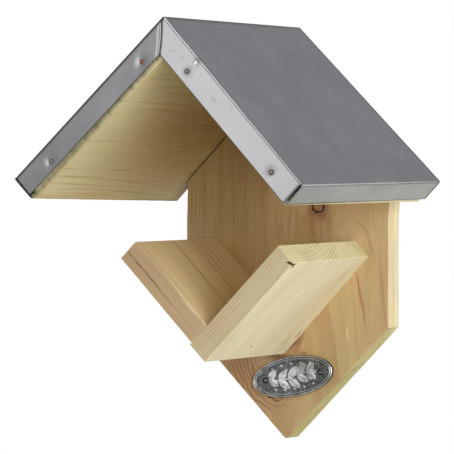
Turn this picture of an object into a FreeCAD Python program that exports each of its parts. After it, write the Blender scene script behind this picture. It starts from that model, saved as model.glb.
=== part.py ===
"""Bird feeding house for a wall: back board, gable roof under a folded zinc sheet, and a V-shaped trough.

Millimetres. +Z is up and the front faces -Y. The origin is the middle of the keyhole in the hanger plate,
on the back plane, which lies against the wall.
"""
import FreeCAD, Part
import os
import re
import Sketcher

# Driving dimensions, in millimetres and degrees
SIZES = {
    # back board
    "board_thickness": 16,
    "board_width": 156,
    "board_side": 101,
    "foot_pitch": 45,
    "foot_flat": 2,
    # roof boards
    "roof_pitch": 45,
    "roof_slope": 150,
    "roof_depth": 185,
    "roof_thickness": 18,
    "roof_setback": 4,
    # zinc sheet over the roof
    "sheet_thickness": 0.6,
    "sheet_gap": 0.3,
    "flange_height": 16.8,
    "seam_gap": 0.8,
    "corner_gap": 1.2,
    # trough
    "tray_pitch": 45,
    "tray_slope": 76,
    "tray_depth": 110,
    "tray_thickness": 16,
    "tray_rise": 4,
    # plaque
    "plaque_width": 62,
    "plaque_height": 30,
    "plaque_thickness": 2.4,
    "plaque_rim": 2.2,
    "plaque_recess": 0.7,
    "plaque_tilt": 9,
    "plaque_shift": 6,
    "plaque_below": 16,
    # keyhole hanger
    "hanger_drop": 55,
    "hanger_width": 18,
    "hanger_length": 44,
    "hanger_thickness": 1.5,
    "hanger_corner": 4,
    "hanger_lift": 5,
    "keyhole_head": 9,
    "keyhole_slot": 5,
    "keyhole_rise": 9,
    "keyhole_room": 1.2,
    "keyhole_depth": 7,
    # nails through the front fascias
    "nail_diameter": 1.8,
    "nail_head": 3.6,
    "nail_head_thickness": 0.8,
    "nail_length": 22,
    "left_nail_along": 27.7,
    "left_nail_under": 11.7,
    "left_nail_spacing": 94.3,
    "left_nail_lean": -1.8,
    "right_nail_along": 40.2,
    "right_nail_under": 8.5,
    "right_nail_spacing": 89,
    "right_nail_lean": 1.35,
    # nails that join the boards
    "joint_diameter": 2,
    "joint_head": 4,
    "joint_head_thickness": 1,
    "joint_length": 40,
    "ridge_nail_inset": 30,
    "roof_nail_along": 70,
    "roof_nail_spacing": 42,
    # brad at the bottom of the trough
    "brad_diameter": 1.2,
    "brad_head": 2,
    "brad_head_thickness": 0.6,
    "brad_length": 35,
    "brad_below": 6.5,
    "brad_setback": 49,
    # screws of the trough
    "screw_diameter": 3.5,
    "screw_head": 7,
    "screw_length": 35,
    "screw_along": 16,
    "screw_spacing": 46,
    # pins of the plaque
    "pin_diameter": 1.4,
    "pin_head": 2.6,
    "pin_head_thickness": 0.7,
    "pin_length": 12,
    "pin_spacing": 43,
    # screws of the hanger plate
    "plate_screw_diameter": 2.4,
    "plate_screw_head": 4.8,
    "plate_screw_length": 12,
    "plate_screw_inset": 4.5,
    # radial clearance of a fastener, and the play of the plate in its recess
    "fit_clearance": 0.05,
    "recess_clearance": 0.2,
}

LEFT, RIGHT = -1, 1
PAIR = 2
RIDGE_NAILS = 3

# Heights worked out from the sizes: the roof boards' ridge, the bottom of the trough, the plaque's middle
RIDGE = "(hanger_drop + roof_thickness / cos(roof_pitch))"
TROUGH = "(hanger_drop - board_width / 2 * tan(roof_pitch) - board_side + tray_rise)"
PLAQUE = f"({TROUGH} - tray_thickness / cos(tray_pitch) - plaque_below)"

# Distances from the back plane, and the sheet's outer face above the roof boards
ROOF_FRONT = "(roof_setback + roof_depth)"
FASCIA_FRONT = f"({ROOF_FRONT} + sheet_gap + sheet_thickness)"
SHEET_TOP = "(sheet_gap + sheet_thickness)"

# Turns of a drill from its own +Z: towards the front or the back of the house
TO_FRONT = "rotation(vector(1; 0; 0); 90)"
TO_BACK = "rotation(vector(1; 0; 0); -90)"

doc = FreeCAD.newDocument("feeding_house")
sheet = doc.addObject("Spreadsheet::Sheet", "sizes")
for row, (alias, size) in enumerate(SIZES.items(), 1):
    sheet.set(f"A{row}", alias)
    sheet.set(f"B{row}", str(size))
    sheet.setAlias(f"B{row}", alias)
doc.recompute()

subparts = []


def formula(text):
    """The text with each size's name pointing at its cell."""
    return re.sub(r"[a-z_]+", lambda word: f"sizes.{word[0]}" if word[0] in SIZES else word[0], text)


def bind(item, prop, text):
    """Tie a property of the item to a formula of the sizes."""
    item.setExpression(prop, formula(text))


def value(text):
    """The number that a formula gives now."""
    return float(sheet.evalExpression(formula(text)))


def on_roof(side, along, out):
    """X and Z of a point on a roof slope: along it from the boards' ridge, and out of their top face."""
    x = f"{side} * (({along}) * cos(roof_pitch) + ({out}) * sin(roof_pitch))"
    z = f"{RIDGE} - ({along}) * sin(roof_pitch) + ({out}) * cos(roof_pitch)"
    return x, z


def on_tray(side, along, out):
    """X and Z of a point on a trough board: up it from the bottom, and out of its inner face."""
    x = f"{side} * (({along}) * cos(tray_pitch) - ({out}) * sin(tray_pitch))"
    z = f"{TROUGH} + ({along}) * sin(tray_pitch) + ({out}) * cos(tray_pitch)"
    return x, z


def on_plaque(along):
    """X and Z of a point on the plaque's long axis."""
    return f"plaque_shift + ({along}) * cos(plaque_tilt)", f"{PLAQUE} + ({along}) * sin(plaque_tilt)"


def new_body(label, x="0", y="0", z="0", turn="0"):
    """A sub-part at its place, turned about the Y axis."""
    body = doc.addObject("PartDesign::Body", label)
    body.Label = label
    bind(body, "Placement", f"placement(vector({x}; {y}; {z}); rotation(vector(0; 1; 0); {turn}))")
    subparts.append(body)
    return body


def origin_feature(body, role):
    return next(feature for feature in body.Origin.OriginFeatures if feature.Role == role)


def new_sketch(body, name, role="XZ_Plane", forward="0"):
    sketch = body.newObject("Sketcher::SketchObject", name)
    sketch.AttachmentSupport = (origin_feature(body, role), [""])
    sketch.MapMode = "FlatFace"
    bind(sketch, "AttachmentOffset.Base.z", forward)
    return sketch


def outline(body, name, corners, role="XZ_Plane", forward="0"):
    """A closed sketch of straight lines whose corners are tied to the sizes."""
    sketch = new_sketch(body, name, role, forward)
    points = [FreeCAD.Vector(value(across), value(up), 0) for across, up in corners]
    count = len(points)
    for index in range(count):
        sketch.addGeometry(Part.LineSegment(points[index], points[(index + 1) % count]))
    for index in range(count):
        sketch.addConstraint(Sketcher.Constraint("Coincident", index, 2, (index + 1) % count, 1))
    for index, corner in enumerate(corners):
        for kind, text in zip(("DistanceX", "DistanceY"), corner):
            number = sketch.addConstraint(Sketcher.Constraint(kind, -1, 1, index, 1, value(text)))
            bind(sketch, f"Constraints[{number}]", text)
    return sketch


def ellipse(body, name, width, height, forward="0"):
    """A closed elliptic sketch about the body's origin."""
    sketch = new_sketch(body, name, "XZ_Plane", forward)
    tip = FreeCAD.Vector(value(width) / 2, 0, 0)
    top = FreeCAD.Vector(0, value(height) / 2, 0)
    sketch.addGeometry(Part.Ellipse(tip, top, FreeCAD.Vector(0, 0, 0)))
    sketch.exposeInternalGeometry(0)
    sketch.addConstraint(Sketcher.Constraint("Coincident", 0, 3, -1, 1))
    sketch.addConstraint(Sketcher.Constraint("Horizontal", 1))
    for axis, text in ((1, width), (2, height)):
        number = sketch.addConstraint(Sketcher.Constraint("Distance", axis, value(text)))
        bind(sketch, f"Constraints[{number}]", text)
    return sketch


def pad(body, name, sketch, length):
    feature = body.newObject("PartDesign::Pad", name)
    feature.Profile = sketch
    bind(feature, "Length", length)
    doc.recompute()
    return feature


def drill(body, name, diameter, depth, at, turn):
    """A round hole from a point of the body, along the turned +Z."""
    hole = body.newObject("PartDesign::SubtractiveCylinder", name)
    bind(hole, "Radius", f"({diameter}) / 2 + fit_clearance")
    bind(hole, "Height", depth)
    bind(hole, "Placement", f"placement(vector({at[0]}; {at[1]}; {at[2]}); {turn})")
    doc.recompute()
    return hole


def countersink(body, name, diameter, head, at, turn):
    """A conical seat for a flush screw head, from its wide end."""
    seat = body.newObject("PartDesign::SubtractiveCone", name)
    bind(seat, "Radius1", f"{head} / 2 + fit_clearance")
    bind(seat, "Radius2", f"{diameter} / 2 + fit_clearance")
    bind(seat, "Height", f"({head} - {diameter}) / 2")
    bind(seat, "Placement", f"placement(vector({at[0]}; {at[1]}; {at[2]}); {turn})")
    doc.recompute()
    return seat


def cut_box(body, name, size, at):
    """A box-shaped cut from its lowest corner."""
    box = body.newObject("PartDesign::SubtractiveBox", name)
    for prop, text in zip(("Length", "Width", "Height"), size):
        bind(box, prop, text)
    bind(box, "Placement", f"placement(vector({at[0]}; {at[1]}; {at[2]}); rotation(vector(0; 0; 1); 0))")
    doc.recompute()
    return box


def edges_along_y(feature, places):
    """Names of the feature's straight edges that run front to back through the given X and Z places."""
    wanted = [(value(x), value(z)) for x, z in places]
    names = []
    for number, edge in enumerate(feature.Shape.Edges, 1):
        start, end = edge.Vertexes[0].Point, edge.Vertexes[-1].Point
        level = abs(start.x - end.x) + abs(start.z - end.z) < 1e-6
        close = any(abs(start.x - x) + abs(start.z - z) < 1e-4 for x, z in wanted)
        if level and close and abs(start.y - end.y) > 0:
            names.append(f"Edge{number}")
    return names


def fillet(body, name, base, names, radius):
    feature = body.newObject("PartDesign::Fillet", name)
    feature.Base = (base, names)
    bind(feature, "Radius", radius)
    doc.recompute()
    return feature


def fastener(body, corners, role, axis="X_Axis", length="0", count=1, backwards=False):
    """A turned nail, pin or screw, repeated in a row along one of the body's axes."""
    profile = outline(body, "profile", corners, role)
    turned = body.newObject("PartDesign::Revolution", "turned")
    turned.Profile = profile
    turned.ReferenceAxis = (profile, ["V_Axis"])
    turned.Angle = 360
    doc.recompute()
    if count > 1:
        row = body.newObject("PartDesign::LinearPattern", "row")
        row.Originals = [turned]
        row.Direction = (origin_feature(body, axis), [""])
        bind(row, "Length", length)
        row.Occurrences = count
        row.Reversed = backwards
        body.Tip = row
        doc.recompute()


def flat_headed(kind, outwards):
    """Half outline of a nail with a flat head, from the seat under the head."""
    shank, head = f"{kind}_diameter / 2", f"{kind}_head / 2"
    cap, length = f"{outwards} * {kind}_head_thickness", f"{kind}_length"
    neck = f"{-outwards} * ({length} - {kind}_diameter)"
    point = f"{-outwards} * {length}"
    return [("0", cap), (head, cap), (head, "0"), (shank, "0"), (shank, neck), ("0", point)]


def flush_headed(kind, outwards):
    """Half outline of a countersunk screw, from the flat of its head."""
    shank, head = f"{kind}_diameter / 2", f"{kind}_head / 2"
    throat = f"{-outwards} * ({head} - {shank})"
    neck = f"{-outwards} * ({kind}_length - {kind}_diameter)"
    return [("0", "0"), (head, "0"), (shank, throat), (shank, neck), ("0", f"{-outwards} * {kind}_length")]


def nail_place(name, number):
    """Along and out of a roof slope: a nail of one fascia, counted from the ridge."""
    step = f"{number} * {name}_nail_spacing"
    along = f"{name}_nail_along + {step} * cos({name}_nail_lean)"
    out = f"-{name}_nail_under - {step} * sin({name}_nail_lean)"
    return along, out


SIDES = ((LEFT, "left"), (RIGHT, "right"))

# Places shared by the boards and their fasteners
RIDGE_NAIL_ALONG = "roof_thickness / 2 * (tan(roof_pitch) - cos(2 * roof_pitch) / sin(2 * roof_pitch))"
RIDGE_NAIL_STEP = f"(roof_depth - 2 * ridge_nail_inset) / {RIDGE_NAILS - 1}"
BOARD_MIDDLE = "-board_thickness / 2"
TRAY_FRONT = "(board_thickness + tray_depth)"
HANGER_HALF = "hanger_length / 2"


def inwards(side):
    """Turn of a drill that enters a roof slope square to its face."""
    return f"rotation(vector(0; 1; 0); {side} * roof_pitch + 180)"


def drill_roof_nails(body, side, y, start, depth):
    for number in range(PAIR):
        along = f"roof_nail_along + {number} * roof_nail_spacing"
        x, z = on_roof(side, along, start)
        drill(body, f"roof_nail_hole_{side}_{number}", "joint_diameter", depth, (x, y, z), inwards(side))


def make_back_board():
    body = new_body("back_board")
    half, shoulder = "board_width / 2", f"({TROUGH} - tray_rise)"
    eaves = "(hanger_drop - board_width / 2 * tan(roof_pitch))"
    foot = f"({shoulder} - (board_width - foot_flat) / 2 * tan(foot_pitch))"
    corners = [("0", "hanger_drop"), (half, eaves), (half, shoulder), ("foot_flat / 2", foot),
               ("-foot_flat / 2", foot), (f"-{half}", shoulder), (f"-{half}", eaves)]
    pad(body, "board", outline(body, "shape", corners), "board_thickness")
    for side, name in SIDES:
        drill_roof_nails(body, side, BOARD_MIDDLE, "-roof_thickness",
                         "joint_length + joint_head_thickness - roof_thickness")
        for number in range(PAIR):
            along = f"screw_along + {number} * screw_spacing"
            x, z = on_tray(side, along, "-tray_thickness / 2")
            at = (x, "0", z)
            drill(body, f"screw_hole_{name}_{number}", "screw_diameter", "board_thickness", at, TO_FRONT)
            countersink(body, f"screw_seat_{name}_{number}", "screw_diameter", "screw_head", at, TO_FRONT)
        x, z = on_plaque(f"{side} * pin_spacing / 2")
        drill(body, f"pin_hole_{name}", "pin_diameter", "pin_length + plaque_recess - plaque_thickness",
              (x, "-board_thickness", z), TO_BACK)
    cut_hanger_recess(body)


def cut_hanger_recess(body):
    """Recess for the hanger plate, with room behind the keyhole for the head of the wall screw."""
    wide, tall = "hanger_width + 2 * recess_clearance", "hanger_length + 2 * recess_clearance"
    corner = (f"-({wide}) / 2", "-hanger_thickness", f"hanger_lift - ({tall}) / 2")
    cut_box(body, "hanger_recess", (wide, "hanger_thickness", tall), corner)
    room = "keyhole_head + 2 * keyhole_room"
    deep = "hanger_thickness + keyhole_depth"
    cut_box(body, "keyhole_room_slot", (room, deep, "keyhole_rise"), (f"-({room}) / 2", f"-({deep})", "0"))
    drill(body, "keyhole_room_low", room, deep, ("0", "0", "0"), TO_FRONT)
    drill(body, "keyhole_room_high", room, deep, ("0", "0", "keyhole_rise"), TO_FRONT)
    for number, side in enumerate((-1, 1)):
        at = ("0", "0", f"hanger_lift + {side} * ({HANGER_HALF} - plate_screw_inset)")
        drill(body, f"plate_screw_hole_{number}", "plate_screw_diameter", "plate_screw_length", at, TO_FRONT)


def make_roof_board(side, name):
    """A roof board; at the ridge the left one runs on and the right one butts against its inner face."""
    body = new_body(f"roof_board_{name}", y="-roof_setback")
    double = "(2 * roof_pitch)"
    if side == LEFT:
        top, under = "0", f"-roof_thickness * cos({double}) / sin({double})"
    else:
        top, under = f"roof_thickness / sin({double})", "roof_thickness * tan(roof_pitch)"
    corners = [on_roof(side, top, "0"), on_roof(side, "roof_slope", "0"),
               on_roof(side, "roof_slope", "-roof_thickness"), on_roof(side, under, "-roof_thickness")]
    pad(body, "board", outline(body, "shape", corners), "roof_depth")
    for number in range(PAIR):
        x, z = on_roof(side, *nail_place(name, number))
        drill(body, f"fascia_nail_hole_{number}", "nail_diameter", f"nail_length - {SHEET_TOP}",
              (x, "-roof_depth", z), TO_BACK)
        x, z = on_roof(side, f"roof_nail_along + {number} * roof_nail_spacing", "0")
        drill(body, f"roof_nail_seat_{number}", "joint_head", "joint_head_thickness",
              (x, f"{BOARD_MIDDLE} + roof_setback", z), inwards(side))
    drill_roof_nails(body, side, f"{BOARD_MIDDLE} + roof_setback", "0", "roof_thickness")
    x, z = on_roof(LEFT, RIDGE_NAIL_ALONG, "0")
    for number in range(RIDGE_NAILS):
        y = f"-ridge_nail_inset - {number} * {RIDGE_NAIL_STEP}"
        drill(body, f"ridge_nail_hole_{number}", "joint_diameter", "joint_length + joint_head_thickness",
              (x, y, z), inwards(LEFT))
        if side == LEFT:
            drill(body, f"ridge_nail_seat_{number}", "joint_head", "joint_head_thickness",
                  (x, y, z), inwards(LEFT))


def make_roof_sheet():
    """Zinc sheet bent over the ridge and down at the eaves, with a fascia in front of each slope."""
    body = new_body("roof_sheet")
    edge, inner_edge = f"roof_slope + {SHEET_TOP}", "roof_slope + sheet_gap"
    low = f"{SHEET_TOP} - flange_height"
    ridge = on_roof(RIGHT, f"-{SHEET_TOP} * tan(roof_pitch)", SHEET_TOP)
    inner_ridge = on_roof(RIGHT, "-sheet_gap * tan(roof_pitch)", "sheet_gap")
    eaves = [on_roof(side, edge, SHEET_TOP) for side in (LEFT, RIGHT)]
    inner_eaves = [on_roof(side, inner_edge, "sheet_gap") for side in (LEFT, RIGHT)]
    corners = [on_roof(LEFT, edge, low), eaves[0], ridge, eaves[1], on_roof(RIGHT, edge, low),
               on_roof(RIGHT, inner_edge, low), inner_eaves[1], inner_ridge, inner_eaves[0],
               on_roof(LEFT, inner_edge, low)]
    folded = pad(body, "folded", outline(body, "section", corners), FASCIA_FRONT)
    inner_names = edges_along_y(folded, [inner_ridge, *inner_eaves])
    inner_bend = fillet(body, "inner_bend", folded, inner_names, "2 * sheet_gap")
    outer_names = edges_along_y(inner_bend, [ridge, *eaves])
    fillet(body, "outer_bend", inner_bend, outer_names, "2 * sheet_gap + sheet_thickness")
    end = "roof_slope + sheet_gap - corner_gap"
    for side, name in SIDES:
        seam = [f"(seam_gap / 2 - ({out}) * sin(roof_pitch)) / cos(roof_pitch)"
                for out in ("sheet_gap", low)]
        shape = [on_roof(side, seam[0], "sheet_gap"), on_roof(side, end, "sheet_gap"),
                 on_roof(side, end, low), on_roof(side, seam[1], low)]
        front = outline(body, f"fascia_shape_{name}", shape, forward=f"{ROOF_FRONT} + sheet_gap")
        pad(body, f"fascia_{name}", front, "sheet_thickness")
        for number in range(PAIR):
            x, z = on_roof(side, *nail_place(name, number))
            drill(body, f"nail_hole_{name}_{number}", "nail_diameter", "2 * sheet_thickness",
                  (x, f"-{FASCIA_FRONT}", z), TO_BACK)


def make_tray_board(side, name):
    """A trough board; at the bottom the right one runs on and the left one butts against its inner face."""
    body = new_body(f"tray_board_{name}", y="-board_thickness")
    double = "(2 * tray_pitch)"
    if side == LEFT:
        inner, outer = "0", f"tray_thickness * cos({double}) / sin({double})"
    else:
        inner, outer = f"-tray_thickness / sin({double})", "-tray_thickness * tan(tray_pitch)"
    corners = [on_tray(side, inner, "0"), on_tray(side, "tray_slope", "0"),
               on_tray(side, "tray_slope", "-tray_thickness"), on_tray(side, outer, "-tray_thickness")]
    pad(body, "board", outline(body, "shape", corners), "tray_depth")
    for number in range(PAIR):
        x, z = on_tray(side, f"screw_along + {number} * screw_spacing", "-tray_thickness / 2")
        drill(body, f"screw_hole_{number}", "screw_diameter", "screw_length - board_thickness",
              (x, "0", z), TO_FRONT)
    x, z = on_tray(RIGHT, "-brad_below", "-tray_thickness")
    into_left = "rotation(vector(0; 1; 0); -tray_pitch)"
    y = "brad_setback - tray_depth"
    drill(body, "brad_hole", "brad_diameter", "brad_length + brad_head_thickness", (x, y, z), into_left)
    if side == RIGHT:
        drill(body, "brad_seat", "brad_head", "brad_head_thickness", (x, y, z), into_left)


def make_plaque():
    """Oval cast plate with a raised rim, tilted a little on the board."""
    body = new_body("plaque", "plaque_shift", "-board_thickness", PLAQUE, "-plaque_tilt")
    pad(body, "plate", ellipse(body, "edge", "plaque_width", "plaque_height"), "plaque_thickness")
    field = ellipse(body, "field_edge", "plaque_width - 2 * plaque_rim", "plaque_height - 2 * plaque_rim",
                    "plaque_thickness")
    recess = body.newObject("PartDesign::Pocket", "field")
    recess.Profile = field
    bind(recess, "Length", "plaque_recess")
    doc.recompute()
    for side, name in SIDES:
        drill(body, f"pin_hole_{name}", "pin_diameter", "plaque_thickness",
              (f"{side} * pin_spacing / 2", "0", "0"), TO_FRONT)


def make_hanger_plate():
    """Steel plate with a keyhole: the wall screw's head enters the hole and its shank slides up the slot."""
    body = new_body("hanger_plate")
    half = "hanger_width / 2"
    low, high = f"hanger_lift - {HANGER_HALF}", f"hanger_lift + {HANGER_HALF}"
    corners = [(f"-{half}", low), (half, low), (half, high), (f"-{half}", high)]
    plate = pad(body, "plate", outline(body, "shape", corners), "hanger_thickness")
    fillet(body, "corners", plate, edges_along_y(plate, corners), "hanger_corner")
    head = drill(body, "keyhole", "keyhole_head", "hanger_thickness", ("0", "0", "0"), TO_FRONT)
    bind(head, "Radius", "keyhole_head / 2")
    cut_box(body, "slot", ("keyhole_slot", "hanger_thickness", "keyhole_rise"),
            ("-keyhole_slot / 2", "-hanger_thickness", "0"))
    top = drill(body, "slot_end", "keyhole_slot", "hanger_thickness", ("0", "0", "keyhole_rise"), TO_FRONT)
    bind(top, "Radius", "keyhole_slot / 2")
    for number, side in enumerate((-1, 1)):
        at = ("0", "0", f"hanger_lift + {side} * ({HANGER_HALF} - plate_screw_inset)")
        drill(body, f"screw_hole_{number}", "plate_screw_diameter", "hanger_thickness", at, TO_FRONT)
        countersink(body, f"screw_seat_{number}", "plate_screw_diameter", "plate_screw_head", at, TO_FRONT)


def make_fasteners():
    for side, name in SIDES:
        backwards = side == LEFT
        x, z = on_roof(side, *nail_place(name, 0))
        turn = f"{side} * (roof_pitch + {name}_nail_lean)"
        nails = new_body(f"fascia_nails_{name}", x, f"-{FASCIA_FRONT}", z, turn)
        spacing = f"{name}_nail_spacing"
        fastener(nails, flat_headed("nail", -1), "XY_Plane", "X_Axis", spacing, PAIR, backwards)

        x, z = on_roof(side, "roof_nail_along", "-joint_head_thickness")
        nails = new_body(f"roof_nails_{name}", x, BOARD_MIDDLE, z, f"{side} * roof_pitch")
        fastener(nails, flat_headed("joint", 1), "XZ_Plane", "X_Axis", "roof_nail_spacing", PAIR, backwards)

        x, z = on_tray(side, "screw_along", "-tray_thickness / 2")
        screws = new_body(f"tray_screws_{name}", x, "0", z, f"{-side} * tray_pitch")
        fastener(screws, flush_headed("screw", 1), "XY_Plane", "X_Axis", "screw_spacing", PAIR, backwards)

    x, z = on_roof(LEFT, RIDGE_NAIL_ALONG, "-joint_head_thickness")
    nails = new_body("ridge_nails", x, "-roof_setback - ridge_nail_inset", z, f"{LEFT} * roof_pitch")
    fastener(nails, flat_headed("joint", 1), "XZ_Plane", "Y_Axis", f"{RIDGE_NAIL_STEP} * {RIDGE_NAILS - 1}",
             RIDGE_NAILS, True)

    x, z = on_tray(RIGHT, "-brad_below", "brad_head_thickness - tray_thickness")
    brad = new_body("tray_joint_nail", x, f"brad_setback - {TRAY_FRONT}", z, "-tray_pitch")
    fastener(brad, flat_headed("brad", -1), "XZ_Plane")

    x, z = on_plaque("-pin_spacing / 2")
    y = "plaque_recess - plaque_thickness - board_thickness"
    pins = new_body("plaque_pins", x, y, z, "-plaque_tilt")
    fastener(pins, flat_headed("pin", -1), "XY_Plane", "X_Axis", "pin_spacing", PAIR)

    z = f"hanger_lift - {HANGER_HALF} + plate_screw_inset"
    screws = new_body("hanger_screws", "0", "0", z)
    fastener(screws, flush_headed("plate_screw", 1), "XY_Plane", "Z_Axis",
             "hanger_length - 2 * plate_screw_inset", PAIR)


make_back_board()
for board_side, board_name in SIDES:
    make_roof_board(board_side, board_name)
make_roof_sheet()
for board_side, board_name in SIDES:
    make_tray_board(board_side, board_name)
make_plaque()
make_hanger_plate()
make_fasteners()
doc.recompute()

# Nothing is written unless every object and every shape is sound
for item in doc.Objects:
    if "Invalid" in item.State or "Error" in item.State:
        raise RuntimeError(f"{item.Name} failed: {item.State}")
for part in subparts:
    if part.Shape.isNull() or not part.Shape.isValid():
        raise RuntimeError(f"{part.Label} has no sound shape")

os.makedirs("parts", exist_ok=True)
for part in subparts:
    part.Shape.exportStep(f"parts/{part.Label}.step")
    box = part.Shape.BoundBox
    extent = f"{box.XLength:.1f} x {box.YLength:.1f} x {box.ZLength:.1f} mm"
    print(f"{part.Label}: {len(part.Shape.Solids)} solids, {extent}")
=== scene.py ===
import math
from dataclasses import dataclass

import bmesh
import bpy
from bpy.props import FloatProperty, FloatVectorProperty, PointerProperty
from bpy.types import Operator, Panel, PropertyGroup
from mathutils import Matrix, Vector, noise


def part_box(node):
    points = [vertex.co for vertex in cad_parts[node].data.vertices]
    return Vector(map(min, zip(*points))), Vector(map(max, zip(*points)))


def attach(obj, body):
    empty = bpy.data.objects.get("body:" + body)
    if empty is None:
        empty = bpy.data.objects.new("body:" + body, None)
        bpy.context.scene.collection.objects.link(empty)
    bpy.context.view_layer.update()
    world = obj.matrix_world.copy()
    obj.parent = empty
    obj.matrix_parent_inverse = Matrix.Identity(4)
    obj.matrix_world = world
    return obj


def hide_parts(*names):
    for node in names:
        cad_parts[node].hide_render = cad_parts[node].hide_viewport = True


bl_info = {
    "name": "Bird Feeding House",
    "version": (1, 0, 0),
    "blender": (4, 5, 0),
    "location": "View3D > Sidebar > Feeding House",
    "description": "Dresses the frame of a wall-hung feeding house in pine, zinc and pewter",
    "category": "Add Mesh",
}

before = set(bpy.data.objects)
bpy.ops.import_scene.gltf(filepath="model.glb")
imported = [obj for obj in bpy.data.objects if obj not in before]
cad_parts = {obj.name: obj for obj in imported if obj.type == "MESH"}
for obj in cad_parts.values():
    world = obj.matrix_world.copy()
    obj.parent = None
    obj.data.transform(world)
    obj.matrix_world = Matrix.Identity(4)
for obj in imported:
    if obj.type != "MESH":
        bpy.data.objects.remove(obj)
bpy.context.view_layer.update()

# Units and names
MM = 0.001
BODY = "root"
LEFT, RIGHT = -1, 1
SIDES = ((LEFT, "left"), (RIGHT, "right"))
# Name of the mark for painted shade on the sheet's folds and edges
SHADE_MARK = "grime"
# Name of the mark for painted shade at the bottom of the torn-out splinter
TORN_SHADE = "torn"
ENDLESS = 1e6

# Points nearer than this are one point, and edges shorter than this have no length
WELD = 0.002 * MM
HAIR = 0.001 * MM

# Places read from the frame
BACK_LOW, BACK_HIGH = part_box("back_board")
ROOF_LOW, ROOF_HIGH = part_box("roof_board_left")
SHEET_LOW, SHEET_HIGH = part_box("roof_sheet")
TRAY_LOW, TRAY_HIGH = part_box("tray_board_right")
PLAQUE_LOW, PLAQUE_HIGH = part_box("plaque")
PLATE_LOW, PLATE_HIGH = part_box("hanger_plate")

# Both pairs of boards stand at this angle to the level
PITCH = math.radians(45)
COS, SIN = math.cos(PITCH), math.sin(PITCH)
RIDGE = Vector((0, 0, ROOF_HIGH.z))
SLOPE = -ROOF_LOW.x / COS
ROOF_THICKNESS = (ROOF_HIGH.z - BACK_HIGH.z) * COS
TRAY_THICKNESS = -TRAY_LOW.x / COS
TRAY_SLOPE = TRAY_HIGH.x / COS - TRAY_THICKNESS
TROUGH = Vector((0, 0, TRAY_LOW.z + 2 * TRAY_THICKNESS * COS))


def linear(level):
    """A screen level from 0 to 255 as linear light."""
    share = level / 255
    return share / 12.92 if share <= 0.04045 else ((share + 0.055) / 1.055) ** 2.4


def size(label, note, millimetres):
    """A length that a user may change, given in millimetres."""
    return FloatProperty(name=label, description=note, default=millimetres * MM, unit="LENGTH", precision=5)


def offset(label, note, right, up):
    """A shift to the right and up that a user may change, given in millimetres."""
    default = (right * MM, up * MM)
    return FloatVectorProperty(name=label, description=note, default=default, size=2,
                               unit="LENGTH", precision=5)


def angle(label, note, degrees):
    """An angle that a user may change, given in degrees."""
    return FloatProperty(name=label, description=note, default=math.radians(degrees), subtype="ANGLE")


def colour(label, note, *levels):
    """A colour that a user may change, given in screen levels."""
    default = [linear(level) for level in levels]
    return FloatVectorProperty(name=label, description=note, default=default, subtype="COLOR", min=0, max=1)


def amount(label, note, default):
    """A plain factor that a user may change."""
    return FloatProperty(name=label, description=note, default=default, subtype="FACTOR", min=0)


class HouseSizes(PropertyGroup):
    """Sizes of what is shaped here, around the frame's own sizes."""

    arris_ease: size("Arris ease", "How far the boards' arrises are rounded", 0.45)
    arris_wear: size("Arris wear", "How uneven the rounded arrises are", 0.14)
    board_step: size("Board step", "Spacing of the boards' mesh lines", 6)
    gable_gap: size("Gable gap", "Gap between the back board's gable and the roof boards", 0.8)
    eave_drop: size("Eave drop", "How far the right roof board bulges down at its eave's rear end", 2.6)
    trough_overrun: size("Trough overrun", "How far the right trough board runs past the left one", 1.8)
    trough_longer: size("Trough longer", "How much longer the left trough board is", 1.0)
    trough_twist: size("Trough twist", "How far the right trough board's rear end is turned inwards", 1.5)
    trough_lean: angle("Trough lean", "How far the left trough board leans inwards", 0.4)
    sheet_gauge: size("Sheet gauge", "Thickness of the zinc sheet", 0.6)
    sheet_stand: size("Sheet stand", "Outer face of the sheet above the boards", 0.9)
    fold_radius: size("Fold radius", "Outer radius of the sheet's folds", 1.6)
    fascia_left: size("Left fascia", "Height of the strip turned down in front of the left slope", 15.9)
    fascia_right: size("Right fascia", "Height of the strip turned down in front of the right slope", 17.8)
    fascia_flare: angle("Fascia flare", "How far the fascias spring open from square", 5)
    flange_front: size("Flange front", "Height of the eave flanges at their front ends", 17.5)
    flange_rear: size("Flange rear", "Height of the eave flanges at the wall", 16.1)
    seam_gap: size("Seam gap", "Gap between the two fascias under the ridge", 1.0)
    seam_shift: size("Seam shift", "How far the seam stands to the left of the ridge", 0.9)
    seam_hook: size("Seam hook", "How far the seam's foot turns to the left", 0.7)
    seam_tuck: size("Seam tuck", "How far the left fascia is tucked in beside the seam", 0.7)
    corner_gap: size("Corner gap", "Slit between a fascia's end and the eave flange", 1.9)
    sheet_wave: size("Sheet wave", "Unevenness of the sheet", 0.07)
    dent_left: size("Left dents", "How deep the nails draw the left fascia in", 0.85)
    dent_right: size("Right dents", "How deep the nails draw the right fascia in", 0.35)
    dent_reach: size("Dent reach", "Radius of those dents", 4.2)
    plaque_width: size("Plaque width", "Long axis of the oval", 62)
    plaque_height: size("Plaque height", "Short axis of the oval", 27.2)
    plaque_rim: size("Plaque rim", "How far in the rim's inner ridge stands", 2.0)
    plaque_relief: size("Plaque relief", "Height of the leaves over the field", 0.75)
    plaque_tilt: angle("Plaque tilt", "How far the plaque's right end is turned up", 10.5)


class HouseSkew(PropertyGroup):
    """How far each corner of the roof has gone out of place."""

    ridge_front: offset("Ridge front", "Front end of the ridge", 4.3, 0.4)
    apex_front: offset("Apex front", "Front end of the inner arris under the ridge", 4.0, -0.6)
    ridge_rear: offset("Ridge rear", "Rear end of the ridge", 1.2, -1.9)
    left_front: offset("Left front", "Front end of the left eave", -1.6, 2.4)
    left_rear: offset("Left rear", "Rear end of the left eave", 0.8, -2.1)
    right_front: offset("Right front", "Front end of the right eave", -1.0, -0.9)
    right_rear: offset("Right rear", "Rear end of the right eave", 2.0, -0.2)


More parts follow.
